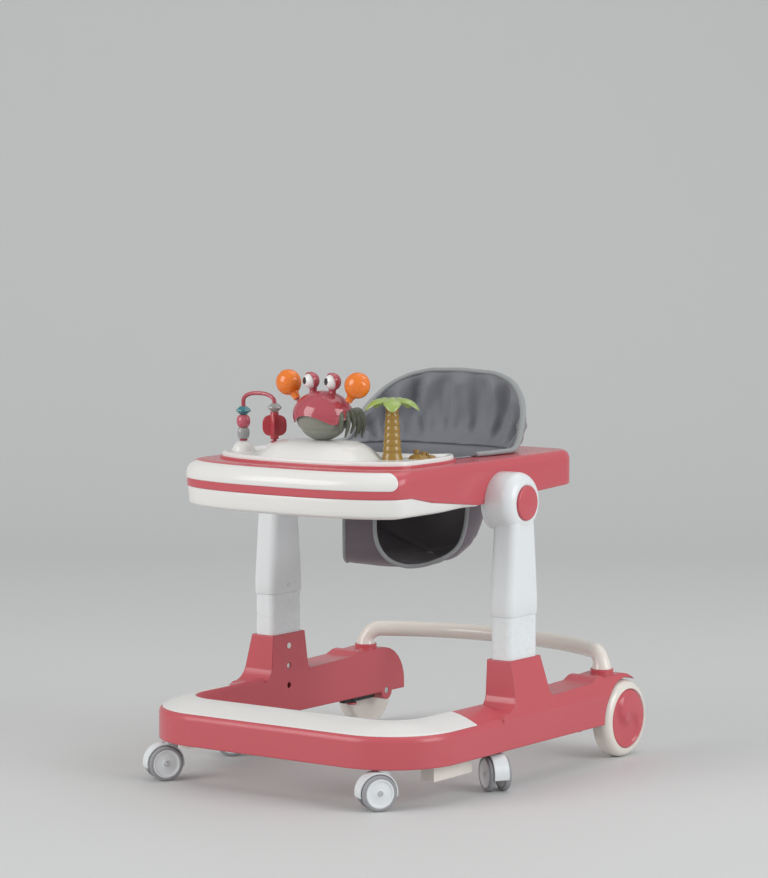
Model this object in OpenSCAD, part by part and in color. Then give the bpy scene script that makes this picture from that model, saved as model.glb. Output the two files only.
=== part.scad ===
// Baby walker: a U-shaped wheeled base, two height-adjusting legs, a pivoting
// tray with a hanging seat, and a lift-off toy tray.
// Lengths run from the leg line; +X is the child's left, -Y is the front, +Z is up.

/* [Base] */
// Height of the base's underside above the floor
base_under = 56; // [52:1:70]
// Half of the base's outer width
base_half_w = 248; // [242:1:300]
// Distance from the leg line forward to the front of the base
front_reach = 306; // [265:1:360]
// Distance from the leg line back to the end of the arms
arm_reach = 297; // [290:1:330]
// Width of the base bar, seen from above
bar_w = 56; // [50:1:62]
// Outer radius of the base's front corners
corner_r = 108; // [95:1:130]
// Height of the bar at its outer edge
bar_h_out = 43; // [36:1:52]
// Height of the bar at its inner ridge
bar_h_in = 60; // [50:1:72]
// Height of the arms behind the legs
arm_h = 66; // [60:1:79]
// Wall thickness of the moulded base
wall = 3; // [2.5:0.1:4]
// Thickness of the pale inlay on top of the front bar
inlay_t = 3; // [2:0.5:5]
// Distance from the leg line to the ends of the inlay
inlay_end = 138; // [120:1:150]

/* [Legs] */
// Width of the telescoping post, across the walker
post_w = 35.4; // [31:0.1:37]
// Depth of the telescoping post, along the walker
post_d = 72; // [60:0.5:76]
// Distance from the centre plane to the leg's centre
leg_x = 212; // [205:1:214]
// Running gap between the post and its socket, on each side
post_gap = 0.3; // [0.2:0.05:0.6]
// Wall of the socket that holds the post
socket_wall = 2; // [1.5:0.1:3]
// Height of the socket's mouth above the floor
socket_top = 177; // [165:1:195]
// Distance that the legs slide down
height_travel = 60; // [45:1:60]
// Number of height settings
height_steps = 3; // [2:1:4]
// Diameter of the height holes
height_hole_d = 9; // [7:0.5:12]
// Height of the top height hole
top_hole_z = 158; // [150:1:162]
// Height of the tray pivot above the floor, legs fully up
pivot_z = 399; // [360:1:440]
// Radius of the hub drum
hub_r = 43; // [36:1:46]
// Radius of the pivot pin
pivot_pin_r = 8; // [6.6:0.1:9.6]
// Running clearance of turning fits, on the radius
run_gap = 0.05; // [0.02:0.01:0.1]
// Radius of the round button in the hub
hub_button_r = 25; // [20:0.5:30]
// Press travel of the hub buttons and snap buttons
button_travel = 3; // [2:0.1:4]

/* [Tray] */
// Half of the tray's width
tray_half_w = 190; // [180:1:194]
// Distance from the pivot forward to the tray's side corners
tray_corner_y = 230; // [222:1:250]
// How far the tray's front bows out past its corners
tray_bow = 65; // [52:1:78]
// Distance from the pivot back to the tray's rear edge
tray_rear = 208; // [195:1:245]
// Height of the tray's rim above the pivot
tray_top = 60; // [50:1:72]
// Wall of the tray mouldings
tray_wall = 3; // [2.5:0.1:4]
// Half of the width of the seat opening
seat_half_w = 128; // [112:1:134]
// Distance from the pivot forward to the seat opening
seat_front = 78; // [65:1:80]
// Distance from the pivot back to the seat opening
seat_rear = 158; // [140:1:165]
// Depth of the crotch below the pivot
crotch_drop = 105; // [90:1:130]
// Thickness of the padded fabric
fabric_t = 5; // [4:0.5:7]
// Width of the fabric between the leg holes
crotch_w = 72; // [58:1:88]

/* [Toys] */
// Half of the toy tray's width
toy_half_w = 166; // [150:1:168]
// Height of the raised middle of the toy tray
hump_h = 28; // [16:1:33]
// Radius of the wire of the bead arch
wire_r = 3; // [2.5:0.1:3.6]
// Distance between the two stems of the bead arch
arch_span = 56.7; // [50:0.1:62]
// Radius of the crab's shell, side to side
crab_r = 44; // [37:1:50]
// Radius of the palm's trunk at its foot
trunk_r = 13; // [9:0.5:15]

/* [Wheels] */
// Radius of the rear wheels
rear_r = 57.3; // [56:0.1:60]
// Width of the rear wheels
rear_w = 30; // [25:0.5:36]
// Radius of the rear axles
rear_axle_r = 5; // [4.2:0.1:6]
// Distance from the leg line back to the rear axle
rear_axle_y = 250; // [240:1:254]
// Radius of the caster wheels
caster_r = 25; // [21:0.1:26]
// Width of one caster wheel
caster_w = 10; // [8.4:0.1:12]
// Clear width between the two wheels of a caster
caster_gap = 13.5; // [12:0.1:16]
// Offset of the caster wheels from the swivel
trail = 12; // [10:0.1:14]
// Radius of the swivel stems
stem_r = 4; // [3.4:0.1:4.8]

/* [Hidden] */

sides = ["left", "right"];
front_caster_y = -281;
mid_caster_y = -75;
front_caster_x = base_half_w - 60;
mid_caster_x = base_half_w - bar_w / 2 + 6;
// Each caster's name, its place across and along the walker, and the direction of its axle.
casters = [
    ["front_left", front_caster_x, front_caster_y, -33.7],
    ["front_right", -front_caster_x, front_caster_y, -33.7],
    ["mid_left", mid_caster_x, mid_caster_y, 55],
    ["mid_right", -mid_caster_x, mid_caster_y, -55]];

coral = [0.76, 0.30, 0.34];
white = [0.90, 0.90, 0.88];
cream = [0.90, 0.87, 0.82];
rose = [0.68, 0.22, 0.29];
grey = [0.40, 0.41, 0.44];
steel = [0.62, 0.63, 0.65];
tyre_grey = [0.40, 0.40, 0.42];
orange = [0.93, 0.47, 0.10];
olive = [0.55, 0.44, 0.16];
leaf_green = [0.60, 0.68, 0.36];

facets = 96;
small_facets = 48;

// The row's origin stands under the middle of the whole walker.
caster_half = caster_gap / 2 + caster_w;
tyre_edge = 2;
front_extent = -front_caster_y + trail * cos(33.7) + (caster_r - tyre_edge) * cos(33.7)
    + (caster_half - tyre_edge) * sin(33.7) + tyre_edge;
rear_extent = rear_axle_y + rear_r;
leg_line_y = (front_extent - rear_extent) / 2;

module placed() translate([0, leg_line_y, 0]) children();
function side_of(s) = s == "left" ? 1 : -1;
module on_side(s) if (side_of(s) > 0) children(); else mirror([1, 0, 0]) children();
module both_sides() { children(); mirror([1, 0, 0]) children(); }
// Lays a shape that was drawn up +Z along +X.
module along_x() rotate([90, 0, 90]) children();
module x_cylinder(r, x0, x1, n = facets)
    translate([x0, 0, 0]) rotate([0, 90, 0]) cylinder(r = r, h = x1 - x0, $fn = n);
function arc(cx, cy, r, a0, a1, n) =
    [for (i = [0:n]) [cx + r * cos(a0 + (a1 - a0) * i / n), cy + r * sin(a0 + (a1 - a0) * i / n)]];
// A ring about +Z from a half-section of [radius, height] points.
module turned(pts, n = facets) rotate_extrude($fn = n) polygon(pts);
// A rounded rectangle, from circles and squares, so that its solids stay exact.
module round_rect(w, d, r) {
    square([w - 2 * r, d], center = true);
    square([w, d - 2 * r], center = true);
    for (x = [-1, 1], y = [-1, 1]) translate([x * (w / 2 - r), y * (d / 2 - r)])
        circle(r = r, $fn = small_facets);
}
module round_bar(w, d, h, r) linear_extrude(h) round_rect(w, d, r);

// ---- base ----
arch_gap = 4;
arch_x = 215;
wheel_in = arch_x + 6;
wheel_out = wheel_in + rear_w;
edge_r = 6;
function edge_drop(v) = v < edge_r ? edge_r - sqrt(edge_r * edge_r - (edge_r - v) * (edge_r - v)) : 0;
// Height of the bar's crowned top, u in from the outer face.
function bar_top(u) = bar_h_out + (bar_h_in - bar_h_out) * sin(90 * u / bar_w)
    - edge_drop(u) - edge_drop(bar_w - u);
crown_u = concat([0, 0.8, 2.4, edge_r], [for (i = [1:5]) edge_r + (bar_w - 2 * edge_r) * i / 5],
    [bar_w - 2.4, bar_w - 0.8, bar_w]);
function crown(inset, lower) =
    [for (u = crown_u) if (u >= inset && u <= bar_w - inset) [u, bar_top(u) - lower]];
// The bar's section: an outer skin that is open below, its outer face at u = 0.
function bar_section() = concat([[0, 0]], crown(0, 0), [[bar_w, 0], [bar_w - wall, 0]],
    [for (i = [len(crown(wall, wall)) - 1:-1:0]) crown(wall, wall)[i]], [[wall, 0]]);
// The strip of the section that the inlay fills.
inlay_in = 5;
inlay_out = bar_w - 3;
function inlay_section(gap) = concat(
    [for (u = crown_u) if (u >= inlay_in && u <= inlay_out) [u, bar_top(u) + (gap > 0 ? 2 : 0.4)]],
    [for (i = [len(crown_u) - 1:-1:0]) let (u = crown_u[i])
        if (u >= inlay_in && u <= inlay_out) [u, bar_top(u) - inlay_t + 0.6]]);

// Carries a section round the front: two short arms, two corners and the front.
module round_front(pts, arm_end) {
    side_len = front_reach - corner_r - arm_end;
    half_front = base_half_w - corner_r;
    translate([half_front, -front_reach, base_under]) rotate([0, -90, 0])
        linear_extrude(2 * half_front) polygon([for (p = pts) [p[1], p[0]]]);
    both_sides() {
        translate([half_front, corner_r - front_reach, base_under]) rotate([0, 0, -90])
            rotate_extrude(angle = 90, $fn = facets) polygon([for (p = pts) [corner_r - p[0], p[1]]]);
        translate([base_half_w, corner_r - front_reach, base_under]) rotate([90, 0, 180])
            linear_extrude(side_len) polygon(pts);
    }
}

arm_fillet = 22;
end_r = 58;
arm_front = 78;
socket_d = post_d + 2 * (socket_wall + post_gap);
socket_w = post_w + 2 * (socket_wall + post_gap);
socket_h = socket_top - base_under;
arm_in = base_half_w - bar_w;
bump_y = 186;
// Side outline of an arm and its socket, from the bottom front and round; inset by t.
function arm_outline(t) = let (
    half = socket_d / 2 - t,
    low = bar_h_in - 8 - t,
    high = arm_h - 4 - t)
    concat([[-arm_front + t, 0], [-arm_front + t, low - 6]],
        [[-arm_front + 12, low]],
        arc(-half - 3 - arm_fillet - t, low + arm_fillet + t, arm_fillet + t, -90, 0, 8),
        [[-half, socket_h - t], [half, socket_h - t]],
        [[half + 9, high + 6], [half + 14, high]],
        [[bump_y - 24, high + 3], [bump_y - 10, high + 9], [bump_y, high + 10], [bump_y + 8, high + 6]],
        arc(arm_reach - end_r, high + 8 - end_r, end_r - t, 90, 4, 10),
        [[arm_reach - t, 0]]);
// End outline: the arm's full width, narrowing to the socket's at the mouth; inset by t.
function arm_ends(t) = [[arm_in + t, 0], [base_half_w - t, 0], [base_half_w - t, bar_h_out],
    [base_half_w - 3 - t, bar_h_in], [leg_x + socket_w / 2 - t, socket_h],
    [leg_x - socket_w / 2 + t, socket_h],
    [leg_x - socket_w / 2 + t, bar_h_in + 30], [arm_in + t, bar_h_in]];
module arm_body(t) intersection() {
    translate([arm_in + t, 0, base_under]) along_x() linear_extrude(bar_w - 2 * t) polygon(arm_outline(t));
    translate([0, 400, base_under]) rotate([90, 0, 0]) linear_extrude(800) polygon(arm_ends(t));
}
module arm_block() difference() {
    arm_body(0);
    translate([0, 0, -1]) arm_body(wall);
}
// The socket stands inside the tower, as a tube from its mouth to its floor.
module socket_tower() translate([leg_x, 0, base_under])
    round_bar(socket_w - 0.02, socket_d - 0.02, socket_h, 12);
module socket_core() {
    translate([leg_x, 0, base_under - 1]) round_bar(post_w + 2 * post_gap, post_d + 2 * post_gap,
        socket_h + 2, 9 + post_gap);
}
boss_r = 14;
caster_boss_r = stem_r + 6;
stem_socket_h = 26;
module caster_bosses() for (c = casters) translate([c[1], c[2], base_under])
    cylinder(r = caster_boss_r, h = stem_socket_h + 4, $fn = small_facets);
rib_t = 2.5;
module base_ribs() {
    rib_h = bar_h_out - 12;
    for (x = [-80, -27, 27, 80]) translate([x - rib_t / 2, -front_reach + 1, base_under + 4])
        cube([rib_t, bar_w - 2, rib_h]);
    both_sides() for (y = [-front_reach + corner_r, -socket_d / 2 - 18, socket_d / 2 + 24, 118, 160])
        translate([base_half_w - bar_w + 1, y, base_under + 4]) cube([bar_w - 2, rib_t, rib_h]);
}
module axle_boss() translate([0, rear_axle_y, rear_r])
    x_cylinder(boss_r, arm_in, arch_x);
handle_x = 217;
handle_y = 229;
foot_r = 14;
foot_z = 2 * rear_r + arch_gap + 2.5;
module handle_sockets() both_sides() translate([handle_x, handle_y, foot_z - 3])
    cylinder(r = foot_r + 3, h = 14, $fn = small_facets);

module base_shell() color(coral) placed() difference() {
    union() {
        difference() {
            round_front(bar_section(), 60);
            round_front(inlay_section(1), inlay_end);
        }
        both_sides() {
            arm_block();
            socket_tower();
            axle_boss();
        }
        caster_bosses();
        base_ribs();
        handle_sockets();
    }
    both_sides() {
        socket_core();
        // Wheel arch, open on the outer side and at the rear.
        translate([0, rear_axle_y, rear_r]) x_cylinder(rear_r + arch_gap, arch_x, base_half_w + 20);
        translate([0, rear_axle_y, rear_r]) x_cylinder(rear_axle_r, arm_in - 1, arch_x + 1);
        translate([handle_x, handle_y, foot_z]) cylinder(r = foot_r, h = 60, $fn = small_facets);
        for (i = [0:height_steps - 1])
            translate([0, 0, top_hole_z - i * height_travel / (height_steps - 1)])
                x_cylinder(height_hole_d / 2, arm_in - 2, leg_x - post_w / 2 + 1, small_facets);
    }
    for (c = casters) translate([c[1], c[2], base_under - 1])
        cylinder(r = stem_r + run_gap, h = stem_socket_h + 1, $fn = small_facets);
}

module front_inlay() color(white) placed() round_front(inlay_section(0), inlay_end);

// Cross bar: two upright feet, an elbow on each, and a bowed bar between them.
bar_r = 12;
bar_top_z = 156;
bar_bend = 24;
bar_sweep = 30;
module rear_bar() color(cream) placed() {
    bow_r = (handle_x - bar_bend * cos(bar_sweep)) / sin(bar_sweep);
    elbow_end_y = handle_y + bar_bend * sin(bar_sweep);
    both_sides() translate([handle_x, handle_y, 0]) {
        translate([0, 0, foot_z])
            cylinder(r = foot_r, h = bar_top_z - bar_bend - foot_z + 2, $fn = small_facets);
        translate([0, 0, bar_top_z - bar_bend]) rotate([0, 0, 180 - bar_sweep]) translate([bar_bend, 0, 0]) {
            rotate([90, 0, 0]) rotate([0, 0, 90]) rotate_extrude(angle = 90, $fn = small_facets)
                translate([bar_bend, 0]) circle(r = bar_r, $fn = 32);
            // Collar over the joint between elbow and bar.
            translate([0, 0, bar_bend]) x_cylinder(bar_r + 0.4, -4, 4, small_facets);
        }
    }
    translate([0, elbow_end_y - bow_r * cos(bar_sweep), bar_top_z]) rotate([0, 0, 90 - bar_sweep])
        rotate_extrude(angle = 2 * bar_sweep, $fn = 240) translate([bow_r, 0]) circle(r = bar_r, $fn = 32);
}

pad_clear = 32;
module grip_pads() color(cream) placed() both_sides()
    translate([base_half_w - 33, -front_reach + 122, pad_clear]) difference() {
        translate([-11, -34, 0]) cube([22, 92, base_under - pad_clear]);
        translate([-8, -31, 8]) cube([16, 86, base_under - pad_clear - 8 + 1]);
    }
axle_end = wheel_out - 1;
module rear_axles() color(steel) placed() both_sides() translate([0, rear_axle_y, rear_r])
    x_cylinder(rear_axle_r, arm_in + 0.5, axle_end);

// ---- brakes ----
// A black lever under each arm swings outwards, so that its shoe meets the wheel's inner face.
brake_y = 176;
brake_x = 206;
brake_pin_r = 3;
brake_low = base_under - 12;
brake_high = base_under + 2;
brake_flange = 3;
brake_reach = 54;
module brake_brackets() color(coral) placed() both_sides() {
    translate([brake_x, brake_y, brake_low]) {
        cylinder(r = 8, h = brake_flange, $fn = small_facets);
        cylinder(r = brake_pin_r, h = brake_high - brake_low + 6, $fn = small_facets);
    }
    translate([arm_in + wall, brake_y - 8, brake_high]) cube([brake_x + 8 - arm_in - wall, 16, 14]);
}
module brake_lever(s) color([0.08, 0.08, 0.08]) placed() on_side(s)
    translate([brake_x, brake_y, brake_low + brake_flange + 0.3]) difference() {
        lever_h = brake_high - brake_low - brake_flange - 0.6;
        union() {
            cylinder(r = 7.5, h = lever_h, $fn = small_facets);
            translate([-5, 0, 1]) cube([10, brake_reach, lever_h - 1]);
            translate([-5, -24, 1]) cube([10, 24, 5]);
            translate([5, brake_reach - 16, 1]) cube([3, 16, lever_h - 2]);
        }
        translate([0, 0, -1]) cylinder(r = brake_pin_r + run_gap, h = lever_h + 2, $fn = small_facets);
    }

// ---- snap buttons ----
module snap_button(s) color(white) placed() on_side(s)
    translate([0, 0, top_hole_z]) x_cylinder(height_hole_d / 2 - run_gap,
        leg_x - socket_w / 2 - 0.2, leg_x - post_w / 2 - post_gap, small_facets);

// ---- legs ----
post_wall = 3;
post_bottom = socket_top - 60;
sleeve_z = socket_top + height_travel + 1;
module leg_post(s) color(white) placed() on_side(s) translate([leg_x, 0, 0]) difference() {
    translate([0, 0, post_bottom]) round_bar(post_w, post_d, sleeve_z + 30 - post_bottom, 9);
    translate([0, 0, post_bottom - 1])
        round_bar(post_w - 2 * post_wall, post_d - 2 * post_wall, sleeve_z + 40 - post_bottom, 6);
    translate([-leg_x, 0, top_hole_z]) x_cylinder(height_hole_d / 2 + 0.3,
        leg_x - post_w / 2 - 1, leg_x - post_w / 2 + post_wall + 1, small_facets);
}
hub_in = leg_x - 24;
hub_out = leg_x + 21;
sleeve_w = socket_w;
sleeve_top_y = 24;
housing_wall = 3;
pin_flange = 11;
// Tall side outline of the leg housing, tapering towards the hub.
function housing_outline(t) = [[-socket_d / 2 + t, 0], [-socket_d / 2 + t, 24],
    [-sleeve_top_y - 4 + t, pivot_z - sleeve_z - 20], [-sleeve_top_y + t, pivot_z - sleeve_z],
    [sleeve_top_y - t, pivot_z - sleeve_z], [sleeve_top_y + 4 - t, pivot_z - sleeve_z - 20],
    [socket_d / 2 - t, 24], [socket_d / 2 - t, 0]];
module leg_housing(s) color(white) placed() on_side(s) difference() {
    union() {
        intersection() {
            translate([leg_x, 0, sleeve_z]) round_bar(sleeve_w, socket_d, pivot_z - sleeve_z, 12);
            translate([leg_x - sleeve_w / 2, 0, sleeve_z])
                along_x() linear_extrude(sleeve_w) polygon(housing_outline(0));
        }
        translate([hub_in, 0, pivot_z]) rotate([0, 90, 0]) hub_drum();
    }
    translate([leg_x, 0, sleeve_z - 1]) round_bar(post_w, post_d, 31, 9);
    intersection() {
        translate([leg_x, 0, sleeve_z + 31]) round_bar(sleeve_w - 2 * housing_wall,
            socket_d - 2 * housing_wall, pivot_z - sleeve_z - hub_r - 31, 8);
        translate([leg_x - sleeve_w / 2, 0, sleeve_z])
            along_x() linear_extrude(sleeve_w) polygon(housing_outline(housing_wall));
    }
    // Well for the round button, and the bore that grips the pivot pin.
    translate([0, 0, pivot_z]) x_cylinder(hub_button_r + run_gap, hub_out - 9, hub_out + 5);
    translate([0, 0, pivot_z]) x_cylinder(pivot_pin_r, hub_in - 20, hub_in + 24);
}
screw_z = sleeve_z + 12;
module housing_screw(s) color(steel) placed() on_side(s) translate([leg_x - socket_w / 2, 0, screw_z])
    x_cylinder(3.2, -1, 0, small_facets);
// Drum turned about its own axis, wide shoulder towards the outside; z is outwards.
plate_gap = 6;
hub_len = hub_out - hub_in;
module hub_drum() turned(concat([[0, 0], [hub_r - 2, 0], [hub_r, 2]],
    arc(hub_r - 16, hub_len - 18, 16, 0, 90, 8) , [[0, hub_len - 2]]));
module hub_button(s) color(coral) placed() on_side(s)
    translate([hub_out - 9 + button_travel, 0, pivot_z]) rotate([0, 90, 0])
        turned(concat([[0, 0], [hub_button_r, 0]],
            [for (a = [0:15:90]) [hub_button_r - 2 + 2 * cos(a), 5 + 2 * sin(a)]],
            [[hub_button_r * 0.6, 8.2], [0, 9]]));
ear_t = 8;
ear_x = hub_in - plate_gap - ear_t;
plate_t = plate_gap - 0.8;
pin_in = ear_x - 4;
module pivot_pin(s) color([0.80, 0.80, 0.80]) placed() on_side(s) translate([0, 0, pivot_z]) {
    x_cylinder(pivot_pin_r, pin_in, hub_in + 20);
    x_cylinder(pin_flange, pin_in, ear_x - 0.4);
    x_cylinder(hub_r - 2, hub_in - plate_t - 0.4, hub_in);
}

// ---- rear wheels ----
cap_r = 44;
cap_depth = 4;
module rear_wheel(s) color(cream) placed() on_side(s) translate([wheel_in, rear_axle_y, rear_r])
    rotate([0, 90, 0]) turned(concat([[rear_axle_r + run_gap, 0]],
        arc(rear_r - 6, 6, 6, -90, 0, 6), arc(rear_r - 10, rear_w - 10, 10, 0, 70, 7),
        [[cap_r + 1, rear_w], [cap_r, rear_w], [cap_r, rear_w - cap_depth],
         [rear_axle_r + run_gap, rear_w - cap_depth]]));
module rear_cap(s) color(coral) placed() on_side(s)
    translate([wheel_out - cap_depth, rear_axle_y, rear_r]) rotate([0, 90, 0])
        turned([[rear_axle_r + 1, 0], [cap_r - 0.1, 0], [cap_r - 0.1, cap_depth - 0.5],
            [cap_r - 1.5, cap_depth + 1], [cap_r * 0.5, cap_depth + 2.4], [0, cap_depth + 3],
            [0, axle_room], [rear_axle_r + 1, axle_room]]);
axle_room = max(axle_end - (wheel_out - cap_depth) + 0.5, 1);

// ---- casters ----
hood_r = caster_r + 3;
hood_half = 11;
web_half = caster_gap / 2 - 0.5;
axle_r = 3;
collar_top = base_under - 0.3;
module at_caster(c) placed() translate([c[1], c[2], 0]) rotate([0, 0, c[3]])
    children();
// The wheels sit off the swivel, towards -Y of the caster's own frame.
module caster_fork(c) color(white) at_caster(c) {
    difference() {
        union() {
            translate([0, -trail, caster_r]) x_cylinder(hood_r, -hood_half, hood_half);
            translate([0, 0, caster_r])
                cylinder(r = caster_boss_r - 1, h = collar_top - caster_r, $fn = small_facets);
        }
        // Half hood: open below the axle, and hollow on both sides of the web.
        translate([-30, -trail - 40, -caster_r]) cube([60, 80, 2 * caster_r - 6]);
        for (s = [-1, 1]) translate([0, -trail, caster_r])
            x_cylinder(caster_r + 1, s > 0 ? web_half : -hood_half - 1, s > 0 ? hood_half + 1 : -web_half);
    }
    // Lower half of the web, round the axle.
    translate([0, -trail, caster_r]) x_cylinder(12, -web_half, web_half, small_facets);
    translate([0, -trail, caster_r]) x_cylinder(axle_r, -caster_half + 1, caster_half - 1, small_facets);
    translate([0, 0, collar_top - 1]) cylinder(r = stem_r, h = stem_socket_h - 2, $fn = small_facets);
}
hub_face_r = caster_r - 4.5;
module caster_pair(pts) for (s = [0, 1]) translate([0, -trail, caster_r])
    mirror([s, 0, 0]) translate([caster_gap / 2, 0, 0]) rotate([0, 90, 0]) turned(pts);
module caster_hub(c) color(white) at_caster(c) caster_pair([[axle_r + run_gap, 0], [hub_face_r, 0],
    [hub_face_r, caster_w - 1], [hub_face_r - 1.5, caster_w - 0.4], [axle_r + run_gap, caster_w - 0.4]]);
module caster_tyre(c) color(tyre_grey) at_caster(c) caster_pair(concat(
    [[hub_face_r, 0], [caster_r - tyre_edge, 0]],
    arc(caster_r - tyre_edge, tyre_edge, tyre_edge, -90, 0, 4),
    arc(caster_r - tyre_edge, caster_w - tyre_edge, tyre_edge, 0, 90, 4), [[hub_face_r, caster_w]]));

// ---- tray ----
split_front = 22;
split_side = -1;
split_rear = 9;
// Plan outline of the tray, inset by t: bowed front, straight sides, rounded rear.
function front_curve(v) = pow(max(1 - pow(abs(v), 2.4), 0), 0.5);
function tray_plan(t) = let (
    w = tray_half_w - t, b = tray_bow - t, n = 20)
    concat([for (i = [0:n]) let (x = w * sin(90 * (2 * i / n - 1)))
            [x, -tray_corner_y - b * front_curve(x / w)]],
        [[w, -60]],
        arc(w - 40, tray_rear - 40 - t, 40, 0, 90, 8), arc(-w + 40, tray_rear - 40 - t, 40, 90, 180, 8),
        [[-w, -60]]);
module seat_hole(t, z0, z1) translate([0, 0, z0]) linear_extrude(z1 - z0) {
    translate([0, (seat_rear - seat_front) / 2])
        round_rect(2 * (seat_half_w + t), seat_rear + seat_front + 2 * t, 70);
}
module drum_notch() both_sides() {
    x_cylinder(hub_r + 1.5, hub_in - plate_gap - 0.6, hub_out + 20);
}
// Side outline of the coral skirt: deep by the hub, shallow in front and behind.
function skirt_line() = [[-tray_corner_y - tray_bow - 5, split_front], [-tray_corner_y + 10, split_front],
    [-tray_corner_y + 60, split_front - 10], [-55, split_side], [55, split_side + 6],
    [tray_rear + 5, split_rear + 3]];
module tray_slab(t, z0, z1) translate([0, 0, z0]) linear_extrude(z1 - z0) polygon(tray_plan(t));
module above_skirt() along_x() translate([0, 0, -300]) linear_extrude(600)
    polygon(concat(skirt_line(), [[tray_rear + 5, 100], [-tray_corner_y - tray_bow - 5, 100]]));
module below_skirt() along_x() translate([0, 0, -300]) linear_extrude(600)
    polygon(concat(skirt_line(), [[tray_rear + 5, -100], [-tray_corner_y - tray_bow - 5, -100]]));
insert_lo = split_front + 12;
insert_hi = tray_top - 6;
module tray_upper() color(coral) placed() translate([0, 0, pivot_z]) difference() {
    intersection() {
        union() {
            tray_slab(0, -10, tray_top - 18);
            tray_slab(4, tray_top - 18.01, tray_top - 8);
            tray_slab(10, tray_top - 8.01, tray_top - 2);
            tray_slab(20, tray_top - 2.01, tray_top);
        }
        above_skirt();
    }
    difference() {
        union() {
            tray_slab(tray_wall, -12, tray_top - 20);
            tray_slab(tray_wall + 10, tray_top - 20.01, tray_top - 2 - tray_wall);
        }
        seat_hole(6, -20, tray_top);
    }
    seat_hole(3, -30, tray_top + 5);
    insert_cut();
    drum_notch();
    toy_seat();
}
// Band round the front that the grip insert fills.
insert_back = 3.5;
module insert_cut() difference() {
    intersection() {
        translate([0, 0, insert_lo]) linear_extrude(insert_hi - insert_lo) polygon(tray_plan(-3));
        translate([-300, -400, 0]) cube([600, 400 - tray_corner_y - 18, 100]);
    }
    translate([0, 0, insert_lo - 5]) linear_extrude(60) polygon(tray_plan(insert_back));
}
module grip_insert() color(white) placed() translate([0, 0, pivot_z]) difference() {
    intersection() {
        translate([0, 0, insert_lo]) linear_extrude(insert_hi - insert_lo) polygon(tray_plan(-2));
        translate([-300, -400, 0]) cube([600, 400 - tray_corner_y - 18, 100]);
    }
    translate([0, 0, insert_lo - 5]) linear_extrude(60) polygon(tray_plan(insert_back));
}
module tray_lower() color(white) placed() translate([0, 0, pivot_z]) {
    difference() {
        intersection() {
            union() {
                tray_slab(3, -1, split_front);
                tray_slab(12, -5, -0.99);
            }
            below_skirt();
            translate([-300, -400, -50]) cube([600, 400 - 58, 100]);
        }
        difference() {
            union() {
                tray_slab(tray_wall + 4, 1, split_front + 1);
            }
            seat_hole(6, -20, tray_top);
        }
        seat_hole(3, -30, tray_top + 5);
        drum_notch();
    }
    both_sides() ear();
}
// Vertical ear that turns on the pivot pin.
ear_r = 20;
module ear() difference() {
    union() {
        x_cylinder(ear_r, ear_x, ear_x + ear_t);
        translate([ear_x, -ear_r, 0]) cube([ear_t, 2 * ear_r, tray_top - 22]);
        translate([ear_x, -110, -1]) cube([ear_t, 104, 13]);
    }
    x_cylinder(pivot_pin_r + run_gap, ear_x - 1, ear_x + ear_t + 1);
}

// ---- toy tray ----
toy_front = 249;
toy_rear = 44;
toy_gap = 0.5;
toy_side = 180;
function toy_plan(t) = let (w = toy_half_w - t) concat(
    [for (i = [0:16]) let (x = w * sin(90 * (i / 8 - 1)))
        [x, -toy_side - (toy_front - toy_side - t) * front_curve(x / w)]],
    [[w, -130], [w - 16, -toy_rear - 16 - t], [w - 30, -toy_rear - t]],
    [[-w + 30, -toy_rear - t], [-w + 16, -toy_rear - 16 - t], [-w, -130]]);
// Shallow recess in the deck that the toy tray drops into.
module toy_seat() translate([0, 0, tray_top - 3.5]) linear_extrude(20) polygon(toy_plan(-toy_gap - 0.5));
seat_clear = 6;
module toy_slab(t, z0, z1) translate([0, 0, z0]) linear_extrude(z1 - z0) difference() {
    polygon(toy_plan(t));
    translate([0, (seat_rear - seat_front) / 2])
        round_rect(2 * (seat_half_w + seat_clear), seat_rear + seat_front + 2 * seat_clear, 72);
}
module toy_tray_rim() color(coral) placed() translate([0, 0, pivot_z]) difference() {
    toy_slab(0, tray_top - 3, tray_top + 4);
    toy_slab(7, tray_top - 4, tray_top + 10);
}
hump_y = -172;
module toy_tray() color(white) placed() translate([0, 0, pivot_z]) {
    toy_slab(7, tray_top - 3, tray_top + 5);
    difference() {
        toy_slab(3, tray_top + 4, tray_top + 9);
        toy_slab(12, tray_top + 5, tray_top + 12);
    }
    hump();
    intersection() {
        for (i = [0, 1]) translate([arch_x0 + i * arch_span, arch_y, tray_top + 2])
            cylinder(r1 = 14, r2 = 9, h = arch_foot - toy_z - 2, $fn = small_facets);
        toy_slab(7.5, tray_top + 2, tray_top + 60);
    }
}
hump_r = 60;
// The middles of the hump's two round ends.
hump_x = [-36, 28];
hump_side = [for (t = [1, 0.97, 0.93, 0.87, 0.79, 0.69, 0.56, 0.38, 0])
    [hump_r * t, hump_h * pow(1 - pow(t, 4), 0.8)]];
// Broad and flat on top, round at both ends.
module hump() translate([0, hump_y, tray_top + 2]) {
    for (x = hump_x) translate([x, 0, 0]) turned(concat([[0, 0]], hump_side));
    translate([hump_x[0], 0, 0]) rotate([90, 0, 90]) linear_extrude(hump_x[1] - hump_x[0])
        polygon(concat(hump_side, [for (i = [7:-1:0]) [-hump_side[i][0], hump_side[i][1]]]));
}
toy_z = pivot_z + tray_top;
hump_top = toy_z + 2 + hump_h;

// ---- crab ----
crab_y = hump_y + 2;
crab_z = hump_top + 36;
claw_x = 45;
claw_z = crab_z + 20;
claw_tilt = 34;
claw_ball_r = 19.5;
claw_stub_r = 2.5;
claw_stub = 9;
module at_claw() translate([claw_x, crab_y, claw_z]) rotate([0, claw_tilt, 0]) children();
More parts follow.
